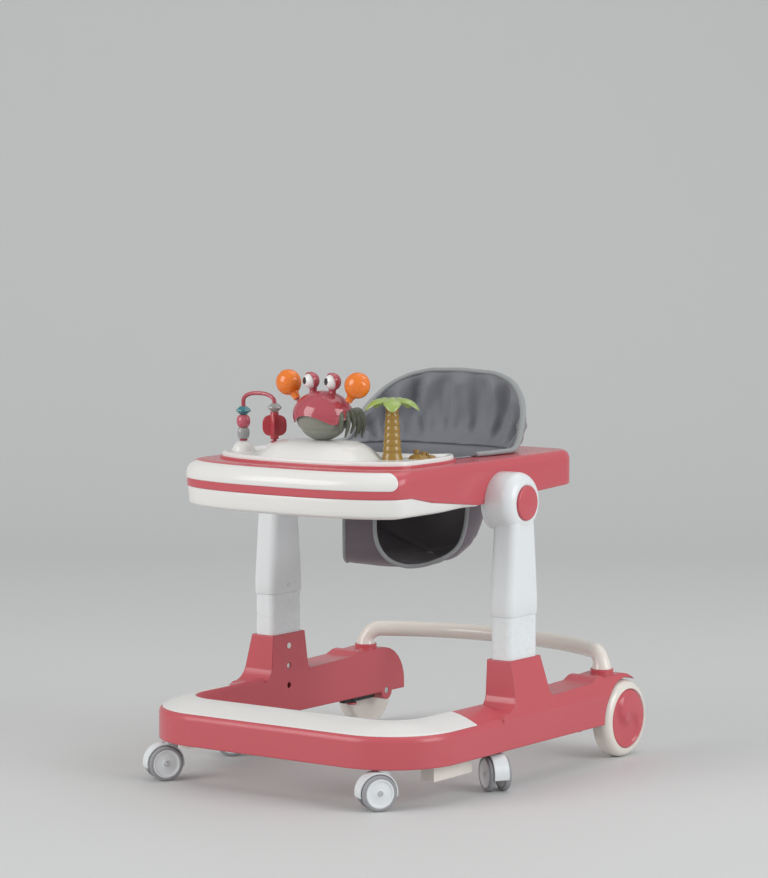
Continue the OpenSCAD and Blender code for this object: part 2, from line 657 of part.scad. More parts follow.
// Round in plan, and lower than it is wide.
module dome(r, up) turned(concat([[0, 0]], [for (a = [0:7.5:90]) [r * cos(a), r * up * sin(a)]]));
module crab_body() color(rose) placed() difference() {
    union() {
        translate([0, crab_y, crab_z]) {
            dome(crab_r, 0.78);
            for (s = [-1, 1]) translate([s * 17, 0, 22]) cylinder(r = 6, h = 16, $fn = small_facets);
        }
        both_sides() at_claw() translate([0, 0, -10])
            cylinder(r = claw_stub_r, h = 10 + claw_stub, $fn = small_facets);
    }
    eye_balls(eye_r);
}
// The face rests on the hump.
module crab_mirror() color([0.60, 0.62, 0.60]) placed() difference() {
    translate([0, crab_y, crab_z]) rotate([180, 0, 0]) turned(concat([[0, 0]],
        [for (a = [0:7.5:90]) [(crab_r - 4) * cos(a), (crab_z - hump_top + 1.5) * sin(a)]]));
    translate([0, 0, pivot_z]) hump();
}
eye_z = crab_z + 47;
eye_x = 19;
eye_r = 11;
module eye_balls(r) for (s = [-1, 1]) translate([s * eye_x, crab_y - 3, eye_z])
    sphere(r = r, $fn = small_facets);
module crab_eyes() color(white) placed() eye_balls(eye_r);
module crab_pupils() color([0.05, 0.05, 0.05]) placed() difference() {
    intersection() {
        eye_balls(eye_r + 0.5);
        for (s = [-1, 1]) translate([s * eye_x - 3, crab_y - 3, eye_z]) rotate([90, 0, 0])
            cylinder(r = 5, h = 20, $fn = small_facets);
    }
    eye_balls(eye_r);
}
module crab_claw(s) color(orange) placed() on_side(s) at_claw() difference() {
    union() {
        translate([0, 0, 0.6]) cylinder(r = 5, h = 14, $fn = small_facets);
        translate([0, 0, 28]) sphere(r = claw_ball_r, $fn = facets);
    }
    translate([0, 0, -1]) cylinder(r = claw_stub_r + run_gap, h = claw_stub + 2, $fn = small_facets);
}

// ---- palm and island ----
palm_x = 100;
palm_y = -141;
palm_h = 84;
module palm_trunk() color(olive) placed() translate([palm_x, palm_y, toy_z + 5])
    turned(concat([[0, 0], [trunk_r + 3, 0], [trunk_r + 1, 3]],
        [for (i = [1:8]) [trunk_r - 4 * i / 8 + (i % 2) * 0.7, 3 + (palm_h - 11) * i / 8]],
        [[0, palm_h - 8]]));
// Side outline of a drooping leaf, its root at the left.
leaf_outline = [[5, 1], [15, 3], [22, 1.8], [28, -0.5], [33, -4], [36.5, -9], [39, -11], [36, -4.5],
    [31, 1.6], [25, 6], [18, 8], [11, 7.6], [5, 5.5]];
module palm_leaves() color(leaf_green) placed() translate([palm_x, palm_y, toy_z + 5 + palm_h - 8]) {
    for (a = [18:72:306]) rotate([0, 0, a]) rotate([90, 0, 0]) translate([0, 0, -9])
        linear_extrude(18) polygon(leaf_outline);
    cylinder(r = 11, h = 6.5, $fn = small_facets);
}
module sand_island() color(olive) placed() for (p = [[126, -114, 14, 9], [134, -97, 9, 6], [112, -98, 9, 5]])
    translate([p[0], p[1], toy_z + 5]) cylinder(r1 = p[2], r2 = p[2] * 0.6, h = p[3], $fn = small_facets);

// ---- bead arch ----
arch_x0 = -146;
arch_y = -166;
arch_foot = toy_z + 22;
arch_rise = 56;
arch_bend = 13;
module bead_arch() color(rose) placed() translate([arch_x0, arch_y, arch_foot]) {
    cylinder(r = wire_r, h = arch_rise, $fn = small_facets);
    translate([arch_span, 0, 0]) cylinder(r = wire_r, h = arch_rise, $fn = small_facets);
    for (i = [0, 1]) translate([arch_bend + i * (arch_span - 2 * arch_bend), 0, arch_rise])
        rotate([90, 0, 0]) rotate([0, 0, 90 - 90 * i]) rotate_extrude(angle = 90, $fn = facets)
            translate([arch_bend, 0]) circle(r = wire_r, $fn = 32);
    translate([0, 0, arch_rise + arch_bend])
        x_cylinder(wire_r, arch_bend, arch_span - arch_bend);
    for (i = [0, 1]) translate([i * arch_span, 0, 0]) cylinder(r = 6, h = 2, $fn = small_facets);
}
module on_stem(i, z) placed() translate([arch_x0 + i * arch_span, arch_y, arch_foot + z]) children();
bead_bore = wire_r + run_gap;
module bead(pts)
    turned(concat([[bead_bore, pts[0][1]]], pts, [[bead_bore, pts[len(pts) - 1][1]]]), small_facets);
module grey_barrel() color([0.52, 0.54, 0.53]) on_stem(0, 2.3) bead([[7, 0], [8.6, 4], [8.6, 12], [7, 16]]);
module rose_barrel() color(rose) on_stem(0, 18.6) bead([[6, 0], [9.4, 4], [9.8, 9], [9.4, 14], [6, 18]]);
module teal_bead() color([0.05, 0.42, 0.45]) on_stem(0, 36.9) bead([[5, 0], [10.5, 5], [10.5, 7], [5, 12]]);
module grey_bead() color([0.52, 0.54, 0.53]) on_stem(1, 43.7) bead([[5, 0], [10, 5], [10, 7], [5, 12]]);
paddle_r = 19;
module red_paddle() color([0.78, 0.13, 0.20]) on_stem(1, 4.4) difference() {
    union() {
        cylinder(r = 6, h = 39, $fn = small_facets);
        for (a = [0:60:120]) rotate([0, 0, a]) translate([0, 1.5, 18.5]) rotate([90, 0, 0])
            cylinder(r = paddle_r - 2, h = 3, $fn = facets);
    }
    translate([0, 0, -1]) cylinder(r = bead_bore, h = 40, $fn = small_facets);
}

// ---- seat ----
soft_gap = 0.3;
back_base_z = pivot_z + tray_top + soft_gap;
back_tilt = 16;
rim_w = 2 * (seat_half_w + 3 - soft_gap);
// Wall round the seat opening, leaning back; inset by t.
module back_walls(t) translate([0, 0, back_base_z]) rotate([-back_tilt, 0, 0])
    translate([0, (seat_rear + 3) * cos(back_tilt) / 2, -60]) linear_extrude(240)
        round_rect(rim_w - 2 * t, (seat_rear + 3) * cos(back_tilt) - 2 * (soft_gap + t), 68 - t);
module seat_back() color(grey) placed() intersection() {
    difference() {
        back_walls(0);
        back_walls(2 * fabric_t);
    }
    // Its upper edge falls away towards the front.
    translate([-200, 0, back_base_z]) along_x() linear_extrude(400)
        polygon([[24, 0], [44, 26], [66, 52], [92, 74], [128, 96], [170, 108], [300, 113], [300, 0]]);
}
bucket_bottom = pivot_z - crotch_drop;
rim_d = seat_rear + seat_front + 2 * (3 - soft_gap);
module seat_bucket() color(grey) placed() {
    // Rim that hangs inside the seat opening.
    translate([0, (seat_rear - seat_front) / 2, pivot_z - 14]) linear_extrude(back_base_z - pivot_z + 14)
        difference() {
            round_rect(rim_w, rim_d, 69.7);
            round_rect(rim_w - 2 * fabric_t, rim_d - 2 * fabric_t, 69.7 - fabric_t);
        }
    // Sling between the legs.
    translate([-crotch_w / 2, 0, 0]) along_x() linear_extrude(crotch_w) polygon(concat(
        [[-seat_front - 1, pivot_z - 8]],
        arc(-seat_front + 29, bucket_bottom + 30, 30, 180, 270, 8),
        arc(seat_rear - 61, bucket_bottom + 60, 60, 270, 340, 8), [[seat_rear + 1, pivot_z - 8]],
        [[seat_rear + 1 - fabric_t, pivot_z - 8]],
        arc(seat_rear - 61, bucket_bottom + 60, 60 - fabric_t, 340, 270, 8),
        arc(-seat_front + 29, bucket_bottom + 30, 30 - fabric_t, 270, 180, 8),
        [[-seat_front - 1 + fabric_t, pivot_z - 8]]));
}
module strap_ring() color(grey) placed() translate([0, -seat_front - 2.6, pivot_z - 34]) rotate([90, 0, 0])
    rotate_extrude($fn = small_facets) translate([9, 0]) circle(r = 1.6, $fn = 24);

base_shell();
front_inlay();
rear_bar();
grip_pads();
rear_axles();
brake_brackets();
for (s = sides) {
    brake_lever(s);
    snap_button(s);
    leg_post(s);
    leg_housing(s);
    housing_screw(s);
    hub_button(s);
    pivot_pin(s);
    rear_wheel(s);
    rear_cap(s);
    crab_claw(s);
}
for (c = casters) {
    caster_fork(c);
    caster_hub(c);
    caster_tyre(c);
}
tray_upper();
tray_lower();
grip_insert();
seat_back();
seat_bucket();
strap_ring();
toy_tray();
toy_tray_rim();
crab_body();
crab_mirror();
crab_eyes();
crab_pupils();
palm_trunk();
palm_leaves();
sand_island();
bead_arch();
teal_bead();
rose_barrel();
grey_barrel();
grey_bead();
red_paddle();
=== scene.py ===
import bpy
import bmesh
import math
import numpy as np
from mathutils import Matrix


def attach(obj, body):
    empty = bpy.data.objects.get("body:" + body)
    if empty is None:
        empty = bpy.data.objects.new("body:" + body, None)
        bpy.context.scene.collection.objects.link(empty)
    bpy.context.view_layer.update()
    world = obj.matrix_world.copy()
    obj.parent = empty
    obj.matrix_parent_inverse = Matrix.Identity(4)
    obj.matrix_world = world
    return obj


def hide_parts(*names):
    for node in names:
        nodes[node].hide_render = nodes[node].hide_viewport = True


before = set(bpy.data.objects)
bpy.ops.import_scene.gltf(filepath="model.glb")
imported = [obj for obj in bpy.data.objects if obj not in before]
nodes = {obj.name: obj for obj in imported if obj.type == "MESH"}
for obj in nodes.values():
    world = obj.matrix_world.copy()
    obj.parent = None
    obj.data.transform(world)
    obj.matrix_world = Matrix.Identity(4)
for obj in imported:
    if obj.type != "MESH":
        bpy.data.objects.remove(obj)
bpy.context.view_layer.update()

lineShift = 6.501  # mm from the shared origin back to the line between the legs
tau = 2 * math.pi

# ---------- camera, light and floor ----------
stageSizes = {"lens": 131.2, "azimuth": 35.88, "pitch": 4.84, "place": (2710.7, -3769.9, 871.6),
              "floorSize": 30.0, "keyPower": 84, "sidePower": 60, "topPower": 18, "worldLight": 0.63}


def makeStage(v):
    cam = bpy.data.objects.new("camera", bpy.data.cameras.new("camera"))
    cam.data.lens = v["lens"]
    cam.data.clip_end = 60
    cam.location = (v["place"][0] / 1000, (v["place"][1] + lineShift) / 1000, v["place"][2] / 1000)
    cam.rotation_euler = (math.radians(90 - v["pitch"]), 0, math.radians(v["azimuth"]))
    bpy.context.scene.collection.objects.link(cam)
    bpy.context.scene.camera = cam
    # the floor rises into a wall far behind, as a studio sweep: a quarter circle carried sideways
    turn = np.linspace(0, math.pi / 2, 24)
    deep = np.concatenate([[-14, 2.6], 2.6 + 2.4 * np.sin(turn), [5.0]])
    high = np.concatenate([[0, 0], 2.4 - 2.4 * np.cos(turn), [14]])
    across = np.linspace(-v["floorSize"] / 2, v["floorSize"] / 2, 3)
    a = math.radians(v["azimuth"])
    X, D = np.meshgrid(across, deep, indexing="ij")
    Z = np.tile(high, (3, 1))
    pts = np.stack([X * math.cos(a) - D * math.sin(a), X * math.sin(a) + D * math.cos(a), Z], -1)
    n = len(deep)
    idx = np.arange(3 * n).reshape(3, n)
    faces = np.stack([idx[:-1, :-1], idx[1:, :-1], idx[1:, 1:], idx[:-1, 1:]], -1).reshape(-1, 4)
    mesh = bpy.data.meshes.new("floor")
    mesh.from_pydata(pts.reshape(-1, 3).tolist(), [], faces.tolist())
    mesh.shade_smooth()
    floor = bpy.data.objects.new("floor", mesh)
    bpy.context.scene.collection.objects.link(floor)
    for name, power, size, place, colour in (
            ("keyLight", v["keyPower"], 2.6, (-1.9, -3.6, 2.1), (1.0, 0.99, 0.975)),
            ("sideLight", v["sidePower"], 2.2, (3.4, 0.4, 1.7), (0.97, 0.99, 1.0)),
            ("topLight", v["topPower"], 2.4, (0.4, 1.4, 3.6), (1.0, 1.0, 1.0))):
        lamp = bpy.data.lights.new(name, "AREA")
        lamp.energy, lamp.size, lamp.color = power, size, colour
        o = bpy.data.objects.new(name, lamp)
        o.location = place
        aim = np.array((0, 0, 0.3)) - np.array(place)
        o.rotation_euler = (math.atan2(math.hypot(aim[0], aim[1]), -aim[2]), 0, math.atan2(-aim[0], aim[1]))
        bpy.context.scene.collection.objects.link(o)
    world = bpy.data.worlds.new("studio")
    bpy.context.scene.world = world
    world.use_nodes = True
    world.node_tree.nodes["Background"].inputs["Color"].default_value = (0.98, 0.99, 1.0, 1)
    world.node_tree.nodes["Background"].inputs["Strength"].default_value = v["worldLight"]
    bpy.context.scene.view_settings.view_transform = "Standard"
    return floor


floor = makeStage(stageSizes)
print("stage ready")


# ---------- surfaces ----------
def gridPart(P, uv=None):
    """A grid of points, rows by columns, as quads; uv is in metres of cloth or plastic."""
    r, c = P.shape[:2]
    idx = np.arange(r * c).reshape(r, c)
    faces = np.stack([idx[:-1, :-1], idx[1:, :-1], idx[1:, 1:], idx[:-1, 1:]], -1).reshape(-1, 4)
    if uv is None:
        along = np.cumsum(np.r_[0, np.linalg.norm(np.diff(P[:, c // 2], axis=0), axis=1)]) / 1000
        across = np.cumsum(np.r_[0, np.linalg.norm(np.diff(P[r // 2], axis=0), axis=1)]) / 1000
        uv = np.stack(np.meshgrid(along, across, indexing="ij"), -1)
    return P.reshape(-1, 3), faces, uv.reshape(-1, 2)


def capped(P):
    """A tube of closed rows, with its first and last rows drawn together to their middles."""
    first = np.broadcast_to(P[0].mean(0), P[0].shape)[None]
    last = np.broadcast_to(P[-1].mean(0), P[-1].shape)[None]
    return np.concatenate([first, P, last])


def outward(verts, faces):
    """Faces turned so that the volume they hold, the sum of their cones from the origin, is positive."""
    a, b, c, d = (verts[faces[:, k]] for k in range(4))
    held = (np.cross(a, b) * c).sum() + (np.cross(a, c) * d).sum()
    return faces if held > 0 else faces[:, ::-1]


def makePiece(name, parts, body, material, replaces=(), sharp=35, subdivide=0):
    """Several grids welded into one closed mesh, in metres, riding on a body."""
    if isinstance(parts, np.ndarray):
        parts = [parts]
    vs, fs, us, start = [], [], [], 0
    for part in parts:
        v, f, u = gridPart(part) if isinstance(part, np.ndarray) else part
        f = outward(v - v.mean(0), f)
        vs.append(v), fs.append(f + start), us.append(u)
        start += len(v)
    v, f, u = np.concatenate(vs), np.concatenate(fs), np.concatenate(us)
    v = (v + (0, lineShift, 0)) / 1000
    mesh = bpy.data.meshes.new(name)
    mesh.from_pydata(v.tolist(), [], f.tolist())
    layer = mesh.uv_layers.new(name="surfaceMap")
    corner = np.zeros(len(mesh.loops), np.int32)
    mesh.loops.foreach_get("vertex_index", corner)
    layer.data.foreach_set("uv", u[corner].astype(np.float32).ravel())
    b = bmesh.new()
    b.from_mesh(mesh)
    bmesh.ops.remove_doubles(b, verts=b.verts, dist=2e-6)
    bmesh.ops.dissolve_degenerate(b, edges=b.edges, dist=1e-7)
    b.to_mesh(mesh)
    b.free()
    mesh.shade_smooth()
    mesh.set_sharp_from_angle(angle=math.radians(sharp))
    mesh.materials.append(material)
    o = bpy.data.objects.new(name, mesh)
    bpy.context.scene.collection.objects.link(o)
    if subdivide:
        m = o.modifiers.new("smooth", "SUBSURF")
        m.levels = m.render_levels = subdivide
    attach(o, body)
    if replaces:
        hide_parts(*replaces)
    return o


def arcPoints(cx, cy, r, a0, a1, n):
    """Points on a circle about (cx, cy), from angle a0 to a1 in degrees."""
    a = np.radians(np.linspace(a0, a1, n))
    return np.stack([cx + r * np.cos(a), cy + r * np.sin(a)], -1)


def roundOff(points, radii, n=6):
    """A closed outline with each corner replaced by an arc that touches both of its sides."""
    pts, out = np.array(points, float), []
    for p, q, s, r in zip(np.roll(pts, 1, 0), pts, np.roll(pts, -1, 0), np.broadcast_to(radii, len(pts))):
        a, b = (p - q) / np.linalg.norm(p - q), (s - q) / np.linalg.norm(s - q)
        half = math.acos(max(-1, min(1, a @ b))) / 2
        if r <= 0 or abs(half - math.pi / 2) < 1e-3:
            out.append(q[None])
            continue
        cut = min(r / math.tan(half), 0.49 * np.linalg.norm(p - q), 0.49 * np.linalg.norm(s - q))
        r = cut * math.tan(half)
        centre = q + (a + b) / np.linalg.norm(a + b) * (r / math.sin(half))
        u, w = q + a * cut - centre, q + b * cut - centre
        t = np.linspace(0, 1, n)[:, None]
        bend = math.acos(max(-1, min(1, (u @ w) / (r * r))))
        out.append(centre + (np.sin((1 - t) * bend) * u + np.sin(t * bend) * w) / max(math.sin(bend), 1e-9))
    out = np.concatenate(out)
    return np.concatenate([out, out[:1]])


def roundRect(w, d, r, n=8):
    """A closed rounded rectangle about the middle."""
    return roundOff([(w / 2, -d / 2), (w / 2, d / 2), (-w / 2, d / 2), (-w / 2, -d / 2)], r, n)


def smoothLine(points, n):
    """A Catmull-Rom curve: between two points, the cubic whose slope at each is half the step across it."""
    p = np.array(points, float)
    p = np.concatenate([2 * p[:1] - p[1:2], p, 2 * p[-1:] - p[-2:-1]])
    t = np.linspace(0, 1, n, endpoint=False)[None, :, None]
    a, b, c, d = (p[k:len(p) - 3 + k, None] for k in range(4))
    curve = 0.5 * (2 * b + (c - a) * t + (2 * a - 5 * b + 4 * c - d) * t ** 2 + (3 * b - a - 3 * c + d) * t ** 3)
    return np.concatenate([curve.reshape(-1, p.shape[1]), p[-2:-1]])


def evenly(path, n, closed=False):
    """The same line with n points at equal steps of its length."""
    s = np.r_[0, np.cumsum(np.linalg.norm(np.diff(path, axis=0), axis=1))]
    t = np.linspace(0, s[-1], n)
    return np.stack([np.interp(t, s, path[:, k]) for k in range(path.shape[1])], -1)


def sweep(path, section, up=(0, 0, 1)):
    """A section carried along a path: its first number to the side, its second towards up."""
    t = np.gradient(path, axis=0)
    if np.allclose(path[0], path[-1]):
        t[0] = t[-1] = path[1] - path[-2]
    t /= np.linalg.norm(t, axis=1)[:, None]
    side = np.cross(t, np.broadcast_to(np.array(up, float), t.shape))
    side /= np.linalg.norm(side, axis=1)[:, None]
    top = np.cross(side, t)
    section = np.broadcast_to(section, (len(path),) + np.shape(section)[-2:])
    return path[:, None] + section[..., :1] * side[:, None] + section[..., 1:] * top[:, None]


def disc(r, n=24):
    """A closed circle of radius r."""
    return arcPoints(0, 0, r, 0, 360, n + 1)


def turned(profile, centre, axis=(0, 0, 1), n=72):
    """A profile of (radius, height) points turned once about an axis through centre."""
    axis = np.array(axis, float) / np.linalg.norm(axis)
    e = np.cross(axis, (0, 1, 0) if abs(axis[1]) < 0.9 else (1, 0, 0))
    e /= np.linalg.norm(e)
    g = np.cross(axis, e)
    a = np.linspace(0, tau, n + 1)[None, :, None]
    p = np.array(profile, float)
    ring = np.cos(a) * e + np.sin(a) * g
    return np.array(centre, float) + p[:, :1, None] * ring + p[:, 1:, None] * axis


def stack(outlines, heights):
    """Closed plan outlines, each at its own height or heights."""
    return np.stack([np.concatenate([o, np.broadcast_to(np.reshape(h, (-1, 1)), (len(o), 1))], -1)
                     for o, h in zip(outlines, heights)])


def easeIn(x, a, b):
    """0 before a, 1 after b, and 3t^2 - 2t^3 between."""
    t = np.clip((np.asarray(x, float) - a) / (b - a), 0, 1)
    return t * t * (3 - 2 * t)


def mirrored(part):
    return part * np.array((-1, 1, 1))


# ---------- materials ----------
def nodeGroup(name, inputs, outputs):
    g = bpy.data.node_groups.new(name, "ShaderNodeTree")
    for n, kind, value in inputs:
        s = g.interface.new_socket(name=n, in_out="INPUT", socket_type=kind)
        if value is not None:
            s.default_value = value
    for n, kind in outputs:
        g.interface.new_socket(name=n, in_out="OUTPUT", socket_type=kind)
    return g, g.nodes.new("NodeGroupInput"), g.nodes.new("NodeGroupOutput")


def addNode(tree, kind, **values):
    n = tree.nodes.new(kind)
    for k, v in values.items():
        if hasattr(n, k):
            setattr(n, k, v)
        else:
            n.inputs[k.replace("_", " ")].default_value = v
    return n


def mathNode(tree, operation, a, b=None, c=None):
    n = tree.nodes.new("ShaderNodeMath")
    n.operation = operation
    for k, x in enumerate((a, b, c)):
        if x is None:
            continue
        if isinstance(x, (int, float)):
            n.inputs[k].default_value = x
        else:
            tree.links.new(x, n.inputs[k])
    return n.outputs[0]


def plasticSurface():
    """Moulded plastic: a slow drift of tone, fine orange-peel height, and hazy rubbed patches in the gloss."""
    g, i, o = nodeGroup("mouldedPlastic",
                        [("Colour", "NodeSocketColor", (0.8, 0.8, 0.8, 1)), ("Drift", "NodeSocketFloat", 0.05),
                         ("Gloss", "NodeSocketFloat", 0.25), ("Haze", "NodeSocketFloat", 0.05)],
                        [("Colour", "NodeSocketColor"), ("Roughness", "NodeSocketFloat"), ("Height", "NodeSocketFloat")])
    place = addNode(g, "ShaderNodeTexCoord").outputs["Object"]
    slow = addNode(g, "ShaderNodeTexNoise", Scale=7.0, Detail=3.0, Roughness=0.5)
    peel = addNode(g, "ShaderNodeTexNoise", Scale=420.0, Detail=2.0, Roughness=0.5)
    rub = addNode(g, "ShaderNodeTexNoise", Scale=46.0, Detail=6.0, Roughness=0.72)
    for n in (slow, peel, rub):
        g.links.new(place, n.inputs["Vector"])
    tone = addNode(g, "ShaderNodeHueSaturation")
    g.links.new(i.outputs["Colour"], tone.inputs["Color"])
    shift = mathNode(g, "MULTIPLY_ADD", mathNode(g, "SUBTRACT", slow.outputs[0], 0.5), i.outputs["Drift"], 1.0)
    g.links.new(shift, tone.inputs["Value"])
    g.links.new(tone.outputs[0], o.inputs["Colour"])
    patch = mathNode(g, "POWER", mathNode(g, "MULTIPLY", rub.outputs[0], 1.5), 3.0)
    rough = mathNode(g, "MULTIPLY_ADD", patch, i.outputs["Haze"], i.outputs["Gloss"])
    g.links.new(rough, o.inputs["Roughness"])
    g.links.new(peel.outputs[0], o.inputs["Height"])
    return g


def rubbedEdges():
    """Paler rubbing where a soft noise is high: a thin, broken mask for handling marks and dust."""
    g, i, o = nodeGroup("handlingMarks", [("Scale", "NodeSocketFloat", 90.0), ("Cover", "NodeSocketFloat", 0.3)],
                        [("Mask", "NodeSocketFloat")])
    place = addNode(g, "ShaderNodeTexCoord").outputs["Object"]
    stretch = addNode(g, "ShaderNodeMapping")
    stretch.inputs["Scale"].default_value = (1.0, 2.4, 0.7)
    g.links.new(place, stretch.inputs["Vector"])
    marks = addNode(g, "ShaderNodeTexNoise", Detail=8.0, Roughness=0.8)
    g.links.new(stretch.outputs[0], marks.inputs["Vector"])
    g.links.new(i.outputs["Scale"], marks.inputs["Scale"])
    gate = mathNode(g, "SUBTRACT", 1.0, i.outputs["Cover"])
    mask = mathNode(g, "MULTIPLY", mathNode(g, "SUBTRACT", marks.outputs[0], gate), 3.0)
    clip = addNode(g, "ShaderNodeClamp")
    g.links.new(mask, clip.inputs["Value"])
    g.links.new(clip.outputs[0], o.inputs["Mask"])
    return g


def wovenCloth():
    """Plain weave on the cloth's own map: warp and weft are sines of u and v, and the colour is painted lighter on the
    higher thread and darker between threads, a painted shade of the weave, mixed with a random slub tone.
    """
    g, i, o = nodeGroup("wovenCloth", [("Colour", "NodeSocketColor", (0.3, 0.3, 0.3, 1)),
                                       ("Threads", "NodeSocketFloat", 900.0)],
                        [("Colour", "NodeSocketColor"), ("Height", "NodeSocketFloat"), ("Roughness", "NodeSocketFloat")])
    uv = addNode(g, "ShaderNodeUVMap", uv_map="surfaceMap").outputs[0]
    split = addNode(g, "ShaderNodeSeparateXYZ")
    g.links.new(uv, split.inputs[0])
    turn = mathNode(g, "MULTIPLY", i.outputs["Threads"], tau)
    warp = mathNode(g, "SINE", mathNode(g, "MULTIPLY", split.outputs[0], turn))
    weft = mathNode(g, "SINE", mathNode(g, "MULTIPLY", split.outputs[1], turn))
    height = mathNode(g, "MULTIPLY_ADD", mathNode(g, "MULTIPLY", warp, weft), 0.5, 0.5)
    place = addNode(g, "ShaderNodeTexCoord").outputs["Object"]
    slub = addNode(g, "ShaderNodeTexNoise", Scale=38.0, Detail=5.0, Roughness=0.6)
    g.links.new(place, slub.inputs["Vector"])
    both = mathNode(g, "MULTIPLY_ADD", slub.outputs[0], 0.35, mathNode(g, "MULTIPLY", height, 0.65))
    # colour value: random slub tone plus painted weave shade, darker where the threads sit low
    tone = addNode(g, "ShaderNodeHueSaturation")
    g.links.new(i.outputs["Colour"], tone.inputs["Color"])
    g.links.new(mathNode(g, "MULTIPLY_ADD", both, 0.30, 0.84), tone.inputs["Value"])
    g.links.new(tone.outputs[0], o.inputs["Colour"])
    g.links.new(both, o.inputs["Height"])
    g.links.new(mathNode(g, "MULTIPLY_ADD", slub.outputs[0], 0.2, 0.48), o.inputs["Roughness"])
    return g


groups = {"plastic": plasticSurface(), "marks": rubbedEdges(), "cloth": wovenCloth()}


def startMaterial(name):
    m = bpy.data.materials.new(name)
    m.use_nodes = True
    t = m.node_tree
    return m, t, t.nodes["Principled BSDF"]


def placeGroup(tree, group, **values):
    n = tree.nodes.new("ShaderNodeGroup")
    n.node_tree = groups[group]
    for k, v in values.items():
        n.inputs[k].default_value = v
    return n


def plastic(name, colour, gloss=0.22, haze=0.04, drift=0.06, peel=0.00001, coat=0.0, round=0.0, subsurface=0.0,
            marks=0.3, ior=1.5):
    """Moulded plastic; round is how far a CAD edge is softened in its shading, in metres."""
    m, t, p = startMaterial(name)
    s = placeGroup(t, "plastic", Colour=(*colour, 1), Gloss=gloss, Haze=haze, Drift=drift)
    w = placeGroup(t, "marks", Scale=24.0, Cover=marks)
    pale = addNode(t, "ShaderNodeMix", data_type="RGBA")
    t.links.new(mathNode(t, "MULTIPLY", w.outputs["Mask"], 0.02), pale.inputs[0])
    t.links.new(s.outputs["Colour"], pale.inputs[6])
    pale.inputs[7].default_value = (0.86, 0.84, 0.82, 1)
    t.links.new(pale.outputs[2], p.inputs["Base Color"])
    t.links.new(mathNode(t, "MULTIPLY_ADD", w.outputs["Mask"], 0.03, s.outputs["Roughness"]), p.inputs["Roughness"])
    bump = addNode(t, "ShaderNodeBump", Strength=0.35, Distance=peel)
    t.links.new(s.outputs["Height"], bump.inputs["Height"])
    if round:
        soft = addNode(t, "ShaderNodeBevel", Radius=round)
        soft.samples = 6
        t.links.new(soft.outputs[0], bump.inputs["Normal"])
    t.links.new(bump.outputs[0], p.inputs["Normal"])
    p.inputs["IOR"].default_value = ior
    p.inputs["Coat Weight"].default_value = coat
    p.inputs["Coat Roughness"].default_value = 0.08
    if subsurface:
        p.inputs["Subsurface Weight"].default_value = subsurface
        p.inputs["Subsurface Radius"].default_value = (0.006, 0.004, 0.003)
    return m


def cloth(name, colour, threads=900.0, sheen=0.35, depth=0.00025):
    m, t, p = startMaterial(name)
    s = placeGroup(t, "cloth", Colour=(*colour, 1), Threads=threads)
    t.links.new(s.outputs["Colour"], p.inputs["Base Color"])
    t.links.new(s.outputs["Roughness"], p.inputs["Roughness"])
    bump = addNode(t, "ShaderNodeBump", Strength=0.6, Distance=depth)
    t.links.new(s.outputs["Height"], bump.inputs["Height"])
    t.links.new(bump.outputs[0], p.inputs["Normal"])
    p.inputs["Sheen Weight"].default_value = sheen
    p.inputs["Sheen Roughness"].default_value = 0.4
    return m


def metal(name, colour, rough=0.28):
    m, t, p = startMaterial(name)
    place = addNode(t, "ShaderNodeTexCoord").outputs["Object"]
    stretch = addNode(t, "ShaderNodeMapping")
    stretch.inputs["Scale"].default_value = (1.0, 30.0, 30.0)
    t.links.new(place, stretch.inputs["Vector"])
    lines = addNode(t, "ShaderNodeTexNoise", Scale=60.0, Detail=6.0)
    t.links.new(stretch.outputs[0], lines.inputs["Vector"])
    t.links.new(mathNode(t, "MULTIPLY_ADD", lines.outputs[0], 0.22, rough - 0.1), p.inputs["Roughness"])
    bump = addNode(t, "ShaderNodeBump", Strength=0.2, Distance=0.00005)
    t.links.new(lines.outputs[0], bump.inputs["Height"])
    t.links.new(bump.outputs[0], p.inputs["Normal"])
    p.inputs["Base Color"].default_value = (*colour, 1)
    p.inputs["Metallic"].default_value = 1.0
    return m


coral = plastic("coralPlastic", (0.54, 0.092, 0.112), gloss=0.22, round=0.003)
coralSmooth = plastic("coralPlasticSmooth", (0.54, 0.092, 0.112), gloss=0.2)
white = plastic("whitePlastic", (0.76, 0.75, 0.74), gloss=0.26, round=0.0012, subsurface=0.05)
whiteSmooth = plastic("whitePlasticSmooth", (0.76, 0.75, 0.73), gloss=0.2, subsurface=0.05)
coolWhite = plastic("legPlastic", (0.74, 0.77, 0.78), gloss=0.26, round=0.0012, subsurface=0.05)
legSmooth = plastic("legPlasticSmooth", (0.74, 0.765, 0.775), gloss=0.2, subsurface=0.05)
cream = plastic("creamPlastic", (0.76, 0.72, 0.66), gloss=0.16, haze=0.05, coat=0.3, subsurface=0.15)
blackPart = plastic("blackPlastic", (0.012, 0.012, 0.013), gloss=0.38, round=0.0008)
tyreGrey = plastic("tyreRubber", (0.30, 0.30, 0.315), gloss=0.5, haze=0.3, peel=0.00012)
roseGloss = plastic("roseGloss", (0.42, 0.065, 0.09), gloss=0.1, haze=0.05, coat=0.4)
